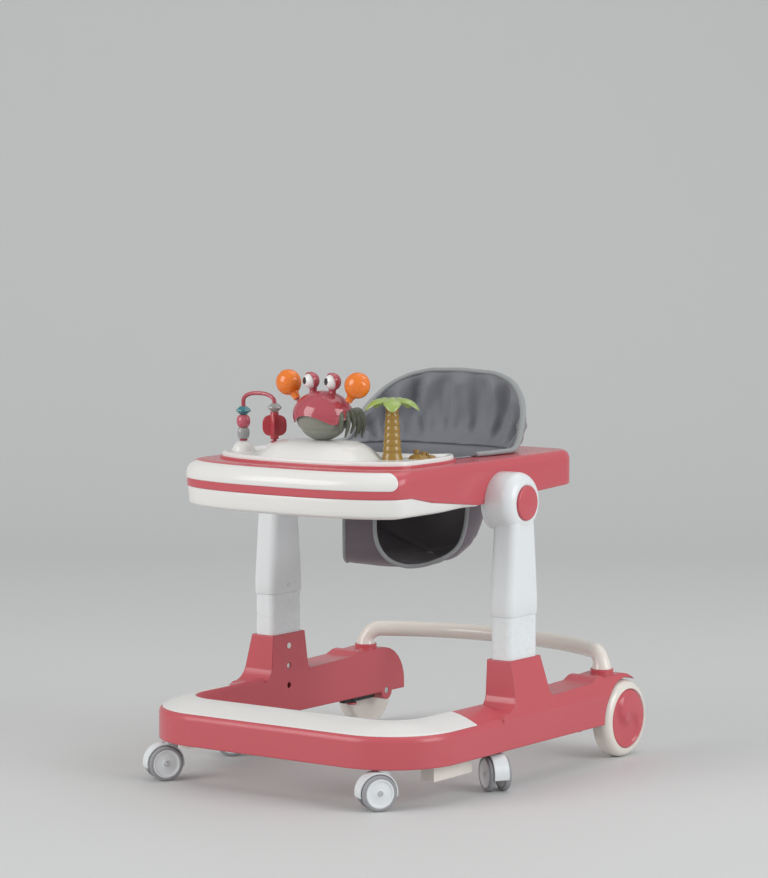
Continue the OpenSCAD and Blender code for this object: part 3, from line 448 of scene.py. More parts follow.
# the crab's mirror as flat grey-green plastic: a painted reflection in place of a mirror finish
mirrorReflectionGrey = plastic("mirrorReflectionGrey", (0.24, 0.25, 0.21), gloss=0.16, haze=0.1)
legGrey = plastic("smokyGrey", (0.12, 0.13, 0.095), gloss=0.16, subsurface=0.2)
orangeGloss = plastic("orangeGloss", (0.80, 0.19, 0.012), gloss=0.12, haze=0.06, coat=0.3, subsurface=0.15)
trunkOlive = plastic("trunkOlive", (0.31, 0.18, 0.028), gloss=0.16, haze=0.08, coat=0.3, subsurface=0.1)
leafGreen = plastic("leafGreen", (0.31, 0.42, 0.11), gloss=0.16, haze=0.06, coat=0.3, subsurface=0.1)
sandBrown = plastic("sandBrown", (0.30, 0.17, 0.035), gloss=0.3)
teal = plastic("tealBead", (0.03, 0.20, 0.23), gloss=0.14, coat=0.3)
beadRose = plastic("roseBead", (0.50, 0.10, 0.14), gloss=0.16, coat=0.3)
beadGrey = plastic("greyBead", (0.31, 0.32, 0.31), gloss=0.16, coat=0.3)
paddleRed = plastic("paddleRed", (0.42, 0.03, 0.045), gloss=0.2, coat=0.2)
eyeWhite = plastic("eyeWhite", (0.80, 0.80, 0.79), gloss=0.08, haze=0.03, coat=0.5)
pupilBlack = plastic("pupilBlack", (0.006, 0.006, 0.006), gloss=0.06, haze=0.02, coat=0.5)
steel = metal("pinSteel", (0.62, 0.63, 0.65))
seatCloth = cloth("seatCloth", (0.185, 0.192, 0.215), sheen=0.5)
panelCloth = cloth("panelCloth", (0.125, 0.100, 0.122))
insideShadeCloth = cloth("insideShadeCloth", (0.034, 0.027, 0.031), sheen=0.1)
# near-black cloth for the sling's inside: painted shade, not the cloth's own colour
pipingCloth = cloth("pipingCloth", (0.29, 0.305, 0.31), threads=1100.0, sheen=0.2)
floorPaint, tree, shader = startMaterial("studioFloor")
place = addNode(tree, "ShaderNodeTexCoord").outputs["Object"]
cloud = addNode(tree, "ShaderNodeTexNoise", Scale=0.8, Detail=3.0)
tree.links.new(place, cloud.inputs["Vector"])
tree.links.new(mathNode(tree, "MULTIPLY_ADD", cloud.outputs[0], 0.1, 0.55), shader.inputs["Roughness"])
shader.inputs["Base Color"].default_value = (0.62, 0.625, 0.62, 1)
floor.data.materials.append(floorPaint)
print("materials ready")


# ---------- CAD nodes that stay ----------
def paint(material, *names):
    for n in names:
        nodes[n].data.materials.clear()
        nodes[n].data.materials.append(material)


sides = ("left", "right")
casters = {"front_left": (188, -281, -33.7), "front_right": (-188, -281, -33.7),
           "mid_left": (226, -75, 55), "mid_right": (-226, -75, -55)}
paint(coral, "base_shell", "brake_brackets", "hub_button_left", "hub_button_right")
paint(white, *("snap_button_" + s for s in sides))
paint(coolWhite, *("leg_post_" + s for s in sides))
paint(cream, "grip_pads")
paint(blackPart, *("brake_lever_" + s for s in sides))
paint(steel, "rear_axles", *("housing_screw_" + s for s in sides))
paint(coolWhite, *("pivot_pin_" + s for s in sides))
paint(beadGrey, "strap_ring")
for c in casters:
    paint(coolWhite, "caster_fork_" + c)
print("carried-over nodes painted")

# ---------- front bar's inlay ----------
inlaySizes = {"halfWidth": 248, "reach": 306, "cornerRadius": 108, "barWidth": 56, "low": 43, "high": 60,
              "ends": 138, "under": 56, "from": 5, "to": 53, "proud": 0.7, "thick": 2.8}


def barCrown(u, v):
    """Height of the bar's top above its underside, u in from the outer face: a quarter sine with rounded edges."""
    edge = lambda d: np.where(d < 6, 6 - np.sqrt(np.clip(36 - (6 - np.clip(d, 0, 6)) ** 2, 0, None)), 0)
    return v["low"] + (v["high"] - v["low"]) * np.sin(np.pi / 2 * u / v["barWidth"]) - edge(u) - edge(v["barWidth"] - u)


def roundTheFront(v, ends, n=26):
    """The base's outer line in plan, from the left arm round the front, with its inward direction."""
    a = np.linspace(0, math.pi / 2, n)
    h, f, r = v["halfWidth"], v["reach"], v["cornerRadius"]
    sideY = np.linspace(-ends, -f + r, 8)[:-1]
    left = np.stack([np.full(7, h), sideY], -1)
    corner = np.stack([h - r + r * np.cos(a), -f + r - r * np.sin(a)], -1)
    half = np.concatenate([left, corner])
    inHalf = np.concatenate([np.tile((-1.0, 0.0), (7, 1)), np.stack([-np.cos(a), np.sin(a)], -1)])
    front = np.stack([np.linspace(h - r, 0, 10)[1:], np.full(9, -f)], -1)
    half = np.concatenate([half, front])
    inHalf = np.concatenate([inHalf, np.tile((0.0, 1.0), (9, 1))])
    m = np.array((-1, 1))
    return np.concatenate([half, (half * m)[-2::-1]]), np.concatenate([inHalf, (inHalf * m)[-2::-1]])


def makeInlay(v):
    line, inward = roundTheFront(v, v["ends"])
    u = np.concatenate([[v["from"], v["from"] + 0.3], np.linspace(v["from"] + 1.2, v["to"] - 1.2, 24),
                        [v["to"] - 0.3, v["to"]]])
    lift = np.concatenate([[-1.0, 0.35], np.full(24, v["proud"]), [0.35, -1.0]])
    top = np.stack([u, barCrown(u, v) + lift], -1)
    low = np.stack([u[::-1], barCrown(u[::-1], v) - v["thick"]], -1)
    loop = np.concatenate([top, low, top[:1]])
    P = np.concatenate([line[:, None] + loop[None, :, :1] * inward[:, None],
                        np.broadcast_to(loop[None, :, 1:] + v["under"], (len(line), len(loop), 1))], -1)
    makePiece("frontInlay", capped(P), "base", whiteSmooth, ["front_inlay"])


makeInlay(inlaySizes)

# ---------- rear bar ----------
rearBarSizes = {"footX": 217, "footY": 229, "footZ": 121.1, "topZ": 156, "bend": 24, "sweep": 30,
                "radius": 12, "footRadius": 15.5}


def makeRearBar(v):
    """One tube: up each foot, round an elbow, and along a bowed arc."""
    s = math.radians(v["sweep"])
    bow = (v["footX"] - v["bend"] * math.cos(s)) / math.sin(s)
    endY = v["footY"] + v["bend"] * math.sin(s)
    up = np.stack([np.full(7, v["footX"]), np.full(7, v["footY"]),
                   np.linspace(v["footZ"], v["topZ"] - v["bend"], 7)], -1)
    a = np.linspace(0, math.pi / 2, 16)[1:, None]
    way = np.array((-math.cos(s), math.sin(s), 0))
    elbow = up[-1] + v["bend"] * ((1 - np.cos(a)) * way + np.sin(a) * np.array((0, 0, 1)))
    t = np.linspace(math.pi / 2 - s, math.pi / 2, 40)[1:]
    arc = np.stack([bow * np.cos(t), endY - bow * math.cos(s) + bow * np.sin(t), np.full(39, v["topZ"])], -1)
    half = np.concatenate([up, elbow, arc])
    path = np.concatenate([half, mirrored(half)[-2::-1]])
    # the tube is a little thicker at its feet
    thick = v["radius"] + (v["footRadius"] - v["radius"]) * (1 - easeIn(path[:, 2], v["footZ"] + 4, v["topZ"] - 10))
    t = np.gradient(path, axis=0)
    t /= np.linalg.norm(t, axis=1)[:, None]
    out = np.stack([path[:, 0] * 0, -np.ones(len(path)), np.zeros(len(path))], -1)
    e = np.cross(t, out)
    e /= np.linalg.norm(e, axis=1)[:, None]
    g = np.cross(t, e)
    ring = disc(1.0, 32)
    P = path[:, None] + thick[:, None, None] * (ring[None, :, :1] * e[:, None] + ring[None, :, 1:] * g[:, None])
    makePiece("rearBar", capped(P), "base", cream, ["rear_bar"], sharp=50)


makeRearBar(rearBarSizes)
print("base dressed")

# ---------- legs ----------
legSizes = {"x": 212, "sleeveW": 40.0, "sleeveD": 76.6, "sleeveZ": 238, "pivotZ": 399, "topD": 48, "corner": 12,
            "hubR": 43, "hubIn": 188, "hubOut": 233, "well": 25.05, "wellDepth": 9}


def makeLeg(side, v):
    k = 1 if side == "left" else -1
    z = np.array([0, 0.6, 1.8, 24, 60, 100, 132, v["pivotZ"] - v["sleeveZ"]])
    deep = np.interp(z, [0, 24, 141, 161], [v["sleeveD"], v["sleeveD"], v["topD"] + 8, v["topD"]])
    shrink = np.array([1.6, 0.5, 0, 0, 0, 0, 0, 0])
    loops = [roundRect(v["sleeveW"] - 2 * s, d - 2 * s, v["corner"] - s, 9) + (k * v["x"], 0) for s, d in zip(shrink, deep)]
    sleeve = capped(stack(loops, z + v["sleeveZ"]))
    R, L = v["hubR"], v["hubOut"] - v["hubIn"]
    # the drum: a small inner edge, a wide domed shoulder, and a well for the button
    drum = np.concatenate([[(0, 0), (R - 2.4, 0), (R - 0.7, 0.7), (R, 2.4)],
                           arcPoints(R - 17.5, L - 17, 17.5, 0, 84, 18) * (1, 1),
                           [(v["well"] + 0.8, L), (v["well"], L - 0.8), (v["well"], L - v["wellDepth"]), (0, L - v["wellDepth"])]])
    hub = turned(drum, (k * v["hubIn"], 0, v["pivotZ"]), (k, 0, 0), 96)
    makePiece("legHousing." + side, [sleeve, hub], side + "_leg", legSmooth, ["leg_housing_" + side])


for s in sides:
    makeLeg(s, legSizes)
print("legs dressed")

# ---------- wheels ----------
rearWheelSizes = {"x": 221, "width": 30, "y": 250, "r": 57.3, "bore": 5.05, "cap": 44, "dish": 4}
casterSizes = {"r": 25, "width": 10, "gap": 13.5, "trail": 12, "bore": 3.05}


def makeRearWheel(side, v):
    k = 1 if side == "left" else -1
    R, W, c = v["r"], v["width"], v["cap"]
    tyre = np.concatenate([[(v["bore"], 0), (c - 4, 0), (c + 2, 2)], arcPoints(R - 7, 7, 7, -90, 0, 10),
                           arcPoints(R - 13, W - 13, 13, 0, 78, 14), [(c + 1.2, W + 0.2), (c + 0.3, W - 0.6), (c, W - v["dish"])],
                           [(v["bore"], W - v["dish"]), (v["bore"], 0)]])
    centre = (k * v["x"], v["y"], v["r"])
    makePiece("rearTyre." + side, turned(tyre, centre, (k, 0, 0), 128), "rear_wheel_" + side, cream, ["rear_wheel_" + side], sharp=50)
    # cap: a shallow dome with a double curl, raised on one side of a line that winds out from the middle
    r = np.linspace(0, 1, 44) ** 0.9
    a = np.linspace(0, tau, 145)
    rr, aa = np.meshgrid(r, a, indexing="ij")
    wind = aa + 1.9 * rr ** 1.2 - 0.5
    curl = np.tanh(np.sin(wind) * 4.5 * np.clip(rr * 1.6, 0, 1)) * easeIn(rr, 0.02, 0.3) * (1 - easeIn(rr, 0.86, 0.96))
    hollow = np.exp(-((np.mod(wind, tau) - math.pi * 1.25) / 0.8) ** 2) * easeIn(rr, 0.1, 0.5) * (1 - easeIn(rr, 0.75, 0.95))
    dome = 2.6 * (1 - rr ** 2) + 2.6 * curl - 2.4 * hollow
    rim = 0.9 * easeIn(rr, 0.85, 0.9) * (1 - easeIn(rr, 0.955, 1.0)) - 1.2 * easeIn(rr, 0.985, 1.0)
    out = W - v["dish"] + 2.6 + dome + rim
    rad = (c - 0.4) * rr
    face = np.stack([k * (v["x"] + out), v["y"] + k * rad * np.cos(aa), v["r"] + rad * np.sin(aa)], -1)
    back = face[-1:].copy()
    back[..., 0] = k * (v["x"] + W - v["dish"] + 0.1)
    centreRow = np.broadcast_to(np.array((k * (v["x"] + W - v["dish"] + 0.1), v["y"], v["r"])), back.shape)
    makePiece("rearCap." + side, np.concatenate([face, back, centreRow]), "rear_wheel_" + side, coralSmooth,
              ["rear_cap_" + side], sharp=60)


def makeCasterWheels(name, v):
    x, y, turn = casters[name]
    a = math.radians(turn)
    axle = np.array((math.cos(a), math.sin(a), 0))
    mid = np.array((x + v["trail"] * math.sin(a), y - v["trail"] * math.cos(a), v["r"]))
    R, W = v["r"], v["width"]
    hubR = R - 4.5
    tyre = np.concatenate([[(hubR, 0.4)], arcPoints(R - 2.4, 2.4, 2.4, -90, 0, 8), arcPoints(R - 3.4, W - 3.4, 3.4, 0, 90, 9),
                           [(hubR, W - 0.3), (hubR, 0.4)]])
    face = [(v["bore"], 0.5), (hubR, 0.5), (hubR, W - 0.9), (hubR - 0.8, W - 0.4), (hubR - 2.6, W - 0.4),
            (hubR - 3.4, W - 1.5), (hubR - 6.0, W - 1.9), (6.4, W - 1.3), (5.6, W - 0.5), (4.4, W - 0.4),
            (3.8, W - 1.0), (v["bore"], W - 1.2), (v["bore"], 0.5)]
    face = roundOff(face[:-1], 0.35, 4)
    tyres = [turned(tyre, mid + s * axle * v["gap"] / 2, s * axle, 64) for s in (1, -1)]
    hubs = [turned(face, mid + s * axle * v["gap"] / 2, s * axle, 64) for s in (1, -1)]
    body = "caster_wheels_" + name
    makePiece("casterTyre." + name, tyres, body, tyreGrey, ["caster_tyre_" + name])
    makePiece("casterHub." + name, hubs, body, legSmooth, ["caster_hub_" + name])
    pin = [(0, 0), (3.4, 0), (3.4, 1.0), (2.6, 1.7), (1.4, 1.7), (1.2, 1.1), (0, 1.1)]
    ends = [turned(pin, mid + s * axle * (v["gap"] / 2 + W - 1.0), s * axle, 24) for s in (1, -1)]
    makePiece("casterPin." + name, ends, body, steel)


def makeButton(side, v):
    """Round push button: a low dome with a rounded rim, riding on its own body."""
    k = 1 if side == "left" else -1
    r = v["r"]
    loop = np.concatenate([[(0, 0), (r, 0)], arcPoints(r - 2.6, v["out"] - 2.6, 2.6, 0, 80, 8),
                           [(r * 0.8, v["out"] + 0.35), (r * 0.5, v["out"] + 1.2), (0, v["out"] + 1.6)]])
    makePiece("hubButton." + side, turned(loop, (k * v["in"], 0, v["z"]), (k, 0, 0), 72), "hub_press_" + side, coralSmooth,
              ["hub_button_" + side], sharp=50)


buttonSizes = {"r": 24.9, "in": 227, "out": 9.6, "z": 399}
for s in sides:
    makeButton(s, buttonSizes)
    makeRearWheel(s, rearWheelSizes)
for c in casters:
    makeCasterWheels(c, casterSizes)
print("wheels dressed")

# ---------- tray ----------
traySizes = {"halfWidth": 190, "cornerY": 230, "bow": 65, "rear": 208, "rearCorner": 40, "top": 60, "pivotZ": 399,
             "wall": 3, "holeHalf": 131, "holeFront": 81, "holeRear": 161, "holeCorner": 73,
             "splitFront": 22, "splitSide": -1, "splitRear": 9, "points": 420}


def trayLine(v, n):
    """The tray's plan: a front that bows as the square root of 1 - |x|^2.4, straight sides and round rear corners."""
    w = v["halfWidth"]
    x = w * np.sin(np.linspace(-math.pi / 2, math.pi / 2, 200))
    front = np.stack([x, -v["cornerY"] - v["bow"] * np.sqrt(np.clip(1 - np.abs(x / w) ** 2.4, 0, 1))], -1)
    r = v["rearCorner"]
    rear = np.concatenate([arcPoints(w - r, v["rear"] - r, r, 0, 90, 24), arcPoints(r - w, v["rear"] - r, r, 90, 180, 24)])
    line = np.concatenate([front, rear, front[:1]])
    # start behind, in the middle, so that the seam is out of sight
    line = evenly(line, 1201)
    k = np.argmin(np.hypot(line[:-1, 0], line[:-1, 1] - v["rear"]))
    line = np.roll(line[:-1], -k, 0)
    return evenly(np.concatenate([line, line[:1]]), n)


def leftHand(line):
    """Unit directions across a closed line, towards its inside."""
    t = np.gradient(line, axis=0)
    t[0] = t[-1] = line[1] - line[-2]
    for _ in range(6):  # soften, so that offsets of a sharp corner stay smooth
        t[1:-1] = (t[:-2] + 2 * t[1:-1] + t[2:]) / 4
    t /= np.linalg.norm(t, axis=1)[:, None]
    side = np.stack([-t[:, 1], t[:, 0]], -1)
    middle = line.mean(0)
    return side if ((middle - line) * side).sum() > 0 else -side


def holeLine(v, n, like):
    """The seat opening's rounded rectangle, with each point facing the same way as the tray's own line."""
    r, h = v["holeCorner"], v["holeHalf"]
    loop = roundOff([(h, -v["holeFront"]), (h, v["holeRear"]), (-h, v["holeRear"]), (-h, -v["holeFront"])], r, 40)
    loop = evenly(loop, 1601)
    centre = np.array((0, 30.0))
    angle = np.unwrap(np.arctan2(*(loop - centre).T[::-1]))
    if angle[-1] < angle[0]:
        loop, angle = loop[::-1], angle[::-1]
    want = np.unwrap(np.arctan2(*(like - centre).T[::-1]))
    if want[-1] < want[0]:
        want = -want
        flip = True
    else:
        flip = False
    wrapped = np.mod((-want if flip else want) - angle[0], tau) + angle[0]
    return np.stack([np.interp(wrapped, angle, loop[:, k], period=tau) if False else
                     np.interp(wrapped, np.r_[angle], loop[:, k]) for k in (0, 1)], -1)


def skirtHeight(y, v):
    """Height of the colour split above the pivot: high round the front, down to the hubs, and up a little behind."""
    c = v["cornerY"]
    return np.interp(y, [-c - v["bow"] - 9, -c + 10, -c + 60, -55, 55, v["rear"] + 5],
                     [v["splitFront"], v["splitFront"], v["splitFront"] - 10, v["splitSide"], v["splitSide"] + 6, v["splitRear"] + 3])


def noseShape(y):
    """How far the top edge is set back and how deep its rounding runs: wide in front, tight at the sides."""
    f = 1 - easeIn(y, -262, -205)
    return 11 + 15 * f, 13 + 9 * f


def makeTrayUpper(v):
    line = trayLine(v, v["points"])
    inside = leftHand(line)
    hole = holeLine(v, v["points"], line)
    setBack, drop = noseShape(line[:, 1])
    base = skirtHeight(line[:, 1], v)
    top = v["top"]
    rows = []

    def row(inset, z):
        p = line + inside * np.reshape(inset, (-1, 1))
        rows.append(np.concatenate([p, np.reshape(np.broadcast_to(z, len(line)), (-1, 1))], -1))

    row(v["wall"], base + 0.4)
    row(0.6, base)
    row(0, base + 0.7)
    for t in np.linspace(0.15, 1, 5):
        row(0, base + 0.7 + (top - drop - base - 0.7) * t)
    for a in np.radians(np.linspace(8, 90, 14)):
        row(setBack * (1 - np.cos(a)), top - drop * (1 - np.sin(a)))
    edge = rows[-1]
    # the deck runs level from the nose to the opening, and turns down into it
    for t in (0.15, 0.4, 0.7, 0.93):
        p = edge[:, :2] * (1 - t) + hole * t
        rows.append(np.concatenate([p, np.full((len(p), 1), top)], -1))
    toHole = leftHand(hole)
    for inset, z in ((-1.0, top), (-0.3, top - 0.3), (0, top - 1.2), (0, top - 9), (-0.8, top - 10), (-3, top - 10), (-3.2, top - 3.4)):
        p = hole + toHole * inset
        rows.append(np.concatenate([p, np.full((len(p), 1), z)], -1))
    for t in (0.5, 0.0):
        p = (line + inside * (setBack[:, None] + 1)) * (1 - t) + (hole - toHole * 3.2) * t
        rows.append(np.concatenate([p, np.full((len(p), 1), top - 3.4)], -1))
    for a in np.radians((60, 30, 0)):
        row(v["wall"] + (setBack - v["wall"]).clip(0) * (1 - np.cos(a)), top - 3.4 - (drop - 3.4) * (1 - np.sin(a)))
    row(v["wall"], base + 0.4)
    P = np.stack(rows)
    P[..., 2] += v["pivotZ"]
    makePiece("trayUpper", P, "tray", coralSmooth, ["tray_upper"], sharp=42)
    return line, inside


trayOutline, trayInside = makeTrayUpper(traySizes)

insertSizes = {"low": 33.5, "high": 58, "endX": 182, "proud": 1.3, "round": 11}


def noseProfile(height, setBack, drop, top):
    """Inset of the nose's surface at a height: 0 on the wall, then a quarter ellipse."""
    s = np.clip((height - (top - drop)) / drop, 0, 0.9995)
    return setBack * (1 - np.sqrt(1 - s ** 2))


def makeInsert(v, t):
    """The pale grip: a band on the nose with round ends, standing just proud of it."""
    line = trayLine(t, 2401)
    inside = leftHand(line)
    front = line[:, 1] < -245
    idx = np.flatnonzero(front)
    line, inside = line[idx], inside[idx]
    s = np.r_[0, np.cumsum(np.linalg.norm(np.diff(line, axis=0), axis=1))]
    n = 180
    e = 0.5 * (1 - np.cos(np.linspace(0, math.pi, n)))
    want = s[0] + (s[-1] - s[0]) * (0.5 * e + 0.5 * np.linspace(0, 1, n))
    line = np.stack([np.interp(want, s, line[:, k]) for k in (0, 1)], -1)
    inside = np.stack([np.interp(want, s, inside[:, k]) for k in (0, 1)], -1)
    inside /= np.linalg.norm(inside, axis=1)[:, None]
    half = (v["high"] - v["low"]) / 2
    fromEnd = np.minimum(want - want[0], want[-1] - want)
    grow = np.sqrt(np.clip(1 - np.clip(1 - fromEnd / v["round"], 0, 1) ** 2, 0, 1))
    setBack, drop = noseShape(line[:, 1])
    cols = np.concatenate([[-1, -0.985, -0.94], np.linspace(-0.85, 0.85, 17), [0.94, 0.985, 1]])
    lift = v["proud"] * np.sqrt(np.clip(1 - np.abs(cols) ** 12, 0, 1))
    mid = (v["high"] + v["low"]) / 2
    z = mid + half * grow[:, None] * cols[None]
    liftEnd = np.clip(fromEnd / 1.5, 0, 1)[:, None] ** 0.5
    inset = noseProfile(z, setBack[:, None], drop[:, None], t["top"]) - lift[None] * liftEnd
    face = np.concatenate([line[:, None] + inside[:, None] * inset[..., None], z[..., None] + t["pivotZ"]], -1)
    inset2 = noseProfile(z, setBack[:, None], drop[:, None], t["top"]) + 1.5
    back = np.concatenate([line[:, None] + inside[:, None] * inset2[..., None], z[..., None] + t["pivotZ"]], -1)
    P = np.concatenate([face, back[:, ::-1], face[:, :1]], 1)
    makePiece("gripInsert", capped(P), "tray", whiteSmooth, ["grip_insert"], sharp=50)


makeInsert(insertSizes, traySizes)


def makeTrayLower(v):
    """The pale underside: a strip of wall below the colour split that curls in to a flat bottom round the opening."""
    line = trayLine(v, 1201)
    keep = np.flatnonzero(line[:, 1] < -57)
    line, inside = line[keep], leftHand(trayLine(v, 1201))[keep]
    n = 220
    s = np.linspace(0, len(line) - 1, n)
    line = np.stack([np.interp(s, np.arange(len(line)), line[:, k]) for k in (0, 1)], -1)
    inside = np.stack([np.interp(s, np.arange(len(inside)), inside[:, k]) for k in (0, 1)], -1)
    base = skirtHeight(line[:, 1], v)
    hole = holeLine(v, v["points"], trayLine(v, v["points"]))
    # each point's partner on the opening's front edge
    a = np.arctan2(line[:, 0], -(line[:, 1] - 30))
    hx = np.arctan2(hole[:, 0], -(hole[:, 1] - 30))
    order = np.argsort(hx)
    partner = np.stack([np.interp(a, hx[order], hole[order, k]) for k in (0, 1)], -1)
    low = -7.5 + 3.0 * easeIn(line[:, 1], -150, -60)
    rows = []

    def row(inset, z):
        rows.append(np.concatenate([line + inside * inset, np.reshape(np.broadcast_to(z, n), (-1, 1))], -1))

    topEdge = np.maximum(base - 0.3, low + 3)
    row(6, topEdge - 1.5)
    row(3.4, topEdge)
    row(1.2, topEdge)
    row(0.9, topEdge - 0.6)
    for t in (0.35, 0.7, 1.0):
        row(0.9 + 2.2 * t, topEdge - 0.6 + (low + 7 - topEdge) * t * (topEdge > low + 7) - 0.0)
    for ang in np.radians((12, 25, 38, 50, 62, 75, 90)):
        row(3.1 + 26 * (1 - math.cos(ang)), low + np.minimum(7, topEdge - low - 0.6) * (1 - math.sin(ang)))
    edge = rows[-1][:, :2]
    for t in (0.3, 0.65, 1.0):
        rows.append(np.concatenate([edge * (1 - t) + partner * t, np.reshape(low, (-1, 1))], -1))
    rows.append(np.concatenate([partner, np.reshape(low + 4, (-1, 1))], -1))
    rows.append(np.concatenate([edge * 0.9 + partner * 0.1, np.reshape(low + 4, (-1, 1))], -1))
    rows.append(rows[0].copy())
    P = np.stack(rows, 1)
    P[..., 2] += v["pivotZ"]
    makePiece("trayLower", capped(P), "tray", whiteSmooth, ["tray_lower"], sharp=42)


makeTrayLower(traySizes)
earSizes = {"in": 174, "out": 182, "r": 20, "top": 38, "pivotZ": 399}


def makeEars(v):
    """Two round-ended plates that turn on the hub pins."""
    loop = np.concatenate([arcPoints(0, 0, v["r"], 180, 360, 30), [(v["r"], v["top"]), (-v["r"], v["top"])]])
    loop = np.concatenate([loop, loop[:1]])
    rows = []
    for x, s in ((v["in"], 1), (v["in"], 0), (v["out"], 0), (v["out"], 1)):
        l = loop * (1 - 0.03 * s)
        rows.append(np.stack([np.full(len(l), x), l[:, 0], l[:, 1] + v["pivotZ"]], -1))
    ear = capped(np.stack(rows))
    makePiece("trayEars", [ear, mirrored(ear)], "tray", whiteSmooth)


makeEars(earSizes)
print("tray dressed")

# ---------- toy tray ----------
toySizes = {"halfWidth": 166, "front": 249, "side": 180, "rear": 44, "z": 459, "floor": 5.5, "rim": 9,
            "humpY": -172, "humpH": 28, "humpR": 62, "humpX": (-36, 28)}
archSizes = {"x": -146, "y": -166, "span": 56.7, "foot": 481, "rise": 56, "bend": 13, "wire": 3, "turn": 0.63}


def toyFront(x, v):
    w = v["halfWidth"]
    return -v["side"] - (v["front"] - v["side"]) * np.sqrt(np.clip(1 - np.abs(x / w) ** 2.4, 0, 1))


def toyRear(x, v):
    """Rear edge: it keeps clear of the seat opening, and its outer corners are cut round."""
    a = np.abs(x)
    clear = np.where(a < 64, -87.0, -12 - np.sqrt(np.clip(75.0 ** 2 - (a - 64) ** 2, 0, None)))
    clear = np.minimum(clear, -v["rear"])
    corner = -v["rear"] - 86 * (1 - np.sqrt(np.clip(1 - np.clip((a - 128) / (v["halfWidth"] - 128), 0, 1) ** 2.2, 0, 1)))
    return np.minimum(clear, corner)


def toyEdge(v, n=900):
    t = np.linspace(-math.pi / 2, math.pi / 2, n)
    x = v["halfWidth"] * np.sin(t)
    front = np.stack([x, toyFront(x, v)], -1)
    rear = np.stack([x, toyRear(x, v)], -1)[::-1]
    return np.concatenate([front, rear, front[:1]])


def makeToyTray(v, arch):
    nx, ny = 190, 120
    x = (v["halfWidth"] - 1.5) * np.sin(np.linspace(-math.pi / 2, math.pi / 2, nx))
    t = 0.5 * (1 - np.cos(np.linspace(0, math.pi, ny)))
    grow = 1 - 1.5 / v["halfWidth"]
    y0, y1 = toyFront(x / grow, v) + 1.5, toyRear(x / grow, v) - 1.5
    Y = y0[:, None] + (y1 - y0)[:, None] * t[None]
    X = np.broadcast_to(x[:, None], Y.shape)
    edge = evenly(toyEdge(v), 500)
    d = np.min(np.hypot(X.reshape(-1, 1) - edge[None, :, 0], Y.reshape(-1, 1) - edge[None, :, 1]), 1).reshape(X.shape)
    # floor, a rounded lip near the edge, a broad dome, and two round feet for the bead wire
    lip = easeIn(d, 1.0, 4.0) * (1 - easeIn(d, 7.0, 15.0))
    Z = v["floor"] * easeIn(d, 0.5, 2.5) + (v["rim"] - v["floor"]) * lip
    rr = np.hypot(X - np.clip(X, *v["humpX"]), Y - v["humpY"]) / v["humpR"]
    Z = Z + (v["humpH"] + 2 - v["floor"]) * np.clip(1 - rr ** 3.6, 0, 1) ** 1.15
    for i in (0, 1):
        q = np.hypot(X - arch["x"] - i * arch["span"], Y - arch["y"]) / 17
        Z = np.maximum(Z, v["floor"] + 16.4 * np.clip(1 - q ** 2.4, 0, 1) ** 0.62)
    top = np.stack([X, Y, Z + v["z"]], -1)
    low = top.copy()
    low[..., 2] = v["z"] - 2.6
    P = np.concatenate([top, low[:, ::-1], top[:, :1]], 1)
    makePiece("toyTray", capped(P), "toys", whiteSmooth, ["toy_tray"], sharp=50)
    # coral band under the lip: a small rounded bar carried round the edge
    band = roundOff([(-0.4, -3.0), (1.2, -3.0), (1.2, 3.4), (-0.4, 3.4), (-5, 3.4), (-5, -3.0)], (1.0, 1.2, 1.2, 0.6, 0.6, 0.6), 4)
    path = np.concatenate([evenly(toyEdge(v), 500), np.full((500, 1), v["z"])], -1)
    inside = leftHand(path[:, :2])
    P = np.concatenate([path[:, None, :2] - inside[:, None] * band[None, :, :1],
                        np.broadcast_to(band[None, :, 1:] + v["z"], (500, len(band), 1))], -1)
    makePiece("toyTrayBand", P, "toys", coralSmooth, ["toy_tray_rim"], sharp=50)


makeToyTray(toySizes, archSizes)

# ---------- bead arch ----------
def makeArch(v):
    """A wire up one stem, over a flattened arch (a superellipse) and down the other."""
    r = v["span"] / 2
    up = np.stack([np.full(12, v["x"]), np.linspace(v["foot"] - 3, v["foot"] + v["rise"] - 2, 12)], -1)
    a = np.linspace(math.pi, 0, 48)
    over = np.stack([v["x"] + r + r * np.sign(np.cos(a)) * np.abs(np.cos(a)) ** 0.86,
                     v["foot"] + v["rise"] + v["bend"] * np.sin(a) ** 0.86], -1)
    down = up[::-1] + (v["span"], 0)
    line = np.concatenate([up, over, down])
    path = np.stack([line[:, 0], np.full(len(line), v["y"]), line[:, 1]], -1)
    wire = capped(sweep(path, disc(v["wire"], 20), up=(0, 1, 0)))
    collars = [turned([(0, 0), (6, 0), (6, 1.4), (5.2, 2), (0, 2)], (v["x"] + i * v["span"], v["y"], v["foot"])) for i in (0, 1)]
    makePiece("beadWire", [wire] + collars, "toys", roseGloss, ["bead_arch"])


beads = {"grey_barrel": (0, 2.3, [(3.05, 0), (6.4, 0), (7.8, 1.2), (8.9, 5), (8.9, 11), (7.8, 14.8), (6.4, 16), (3.05, 16)], 14, beadGrey),
         "rose_barrel": (0, 18.6, [(3.05, 0), (6, 0), (8.3, 2), (9.8, 6), (10, 9), (9.8, 12), (8.3, 16), (6, 18), (3.05, 18)], 48, beadRose),
         "teal_bead": (0, 36.9, [(3.05, 0), (5, 0), (10.3, 4.6), (10.6, 6), (10.3, 7.4), (5, 12), (3.05, 12)], 10, teal),
         "grey_bead": (1, 43.7, [(3.05, 0), (5, 0), (9.8, 4.6), (10.2, 6), (9.8, 7.4), (5, 12), (3.05, 12)], 10, beadGrey)}


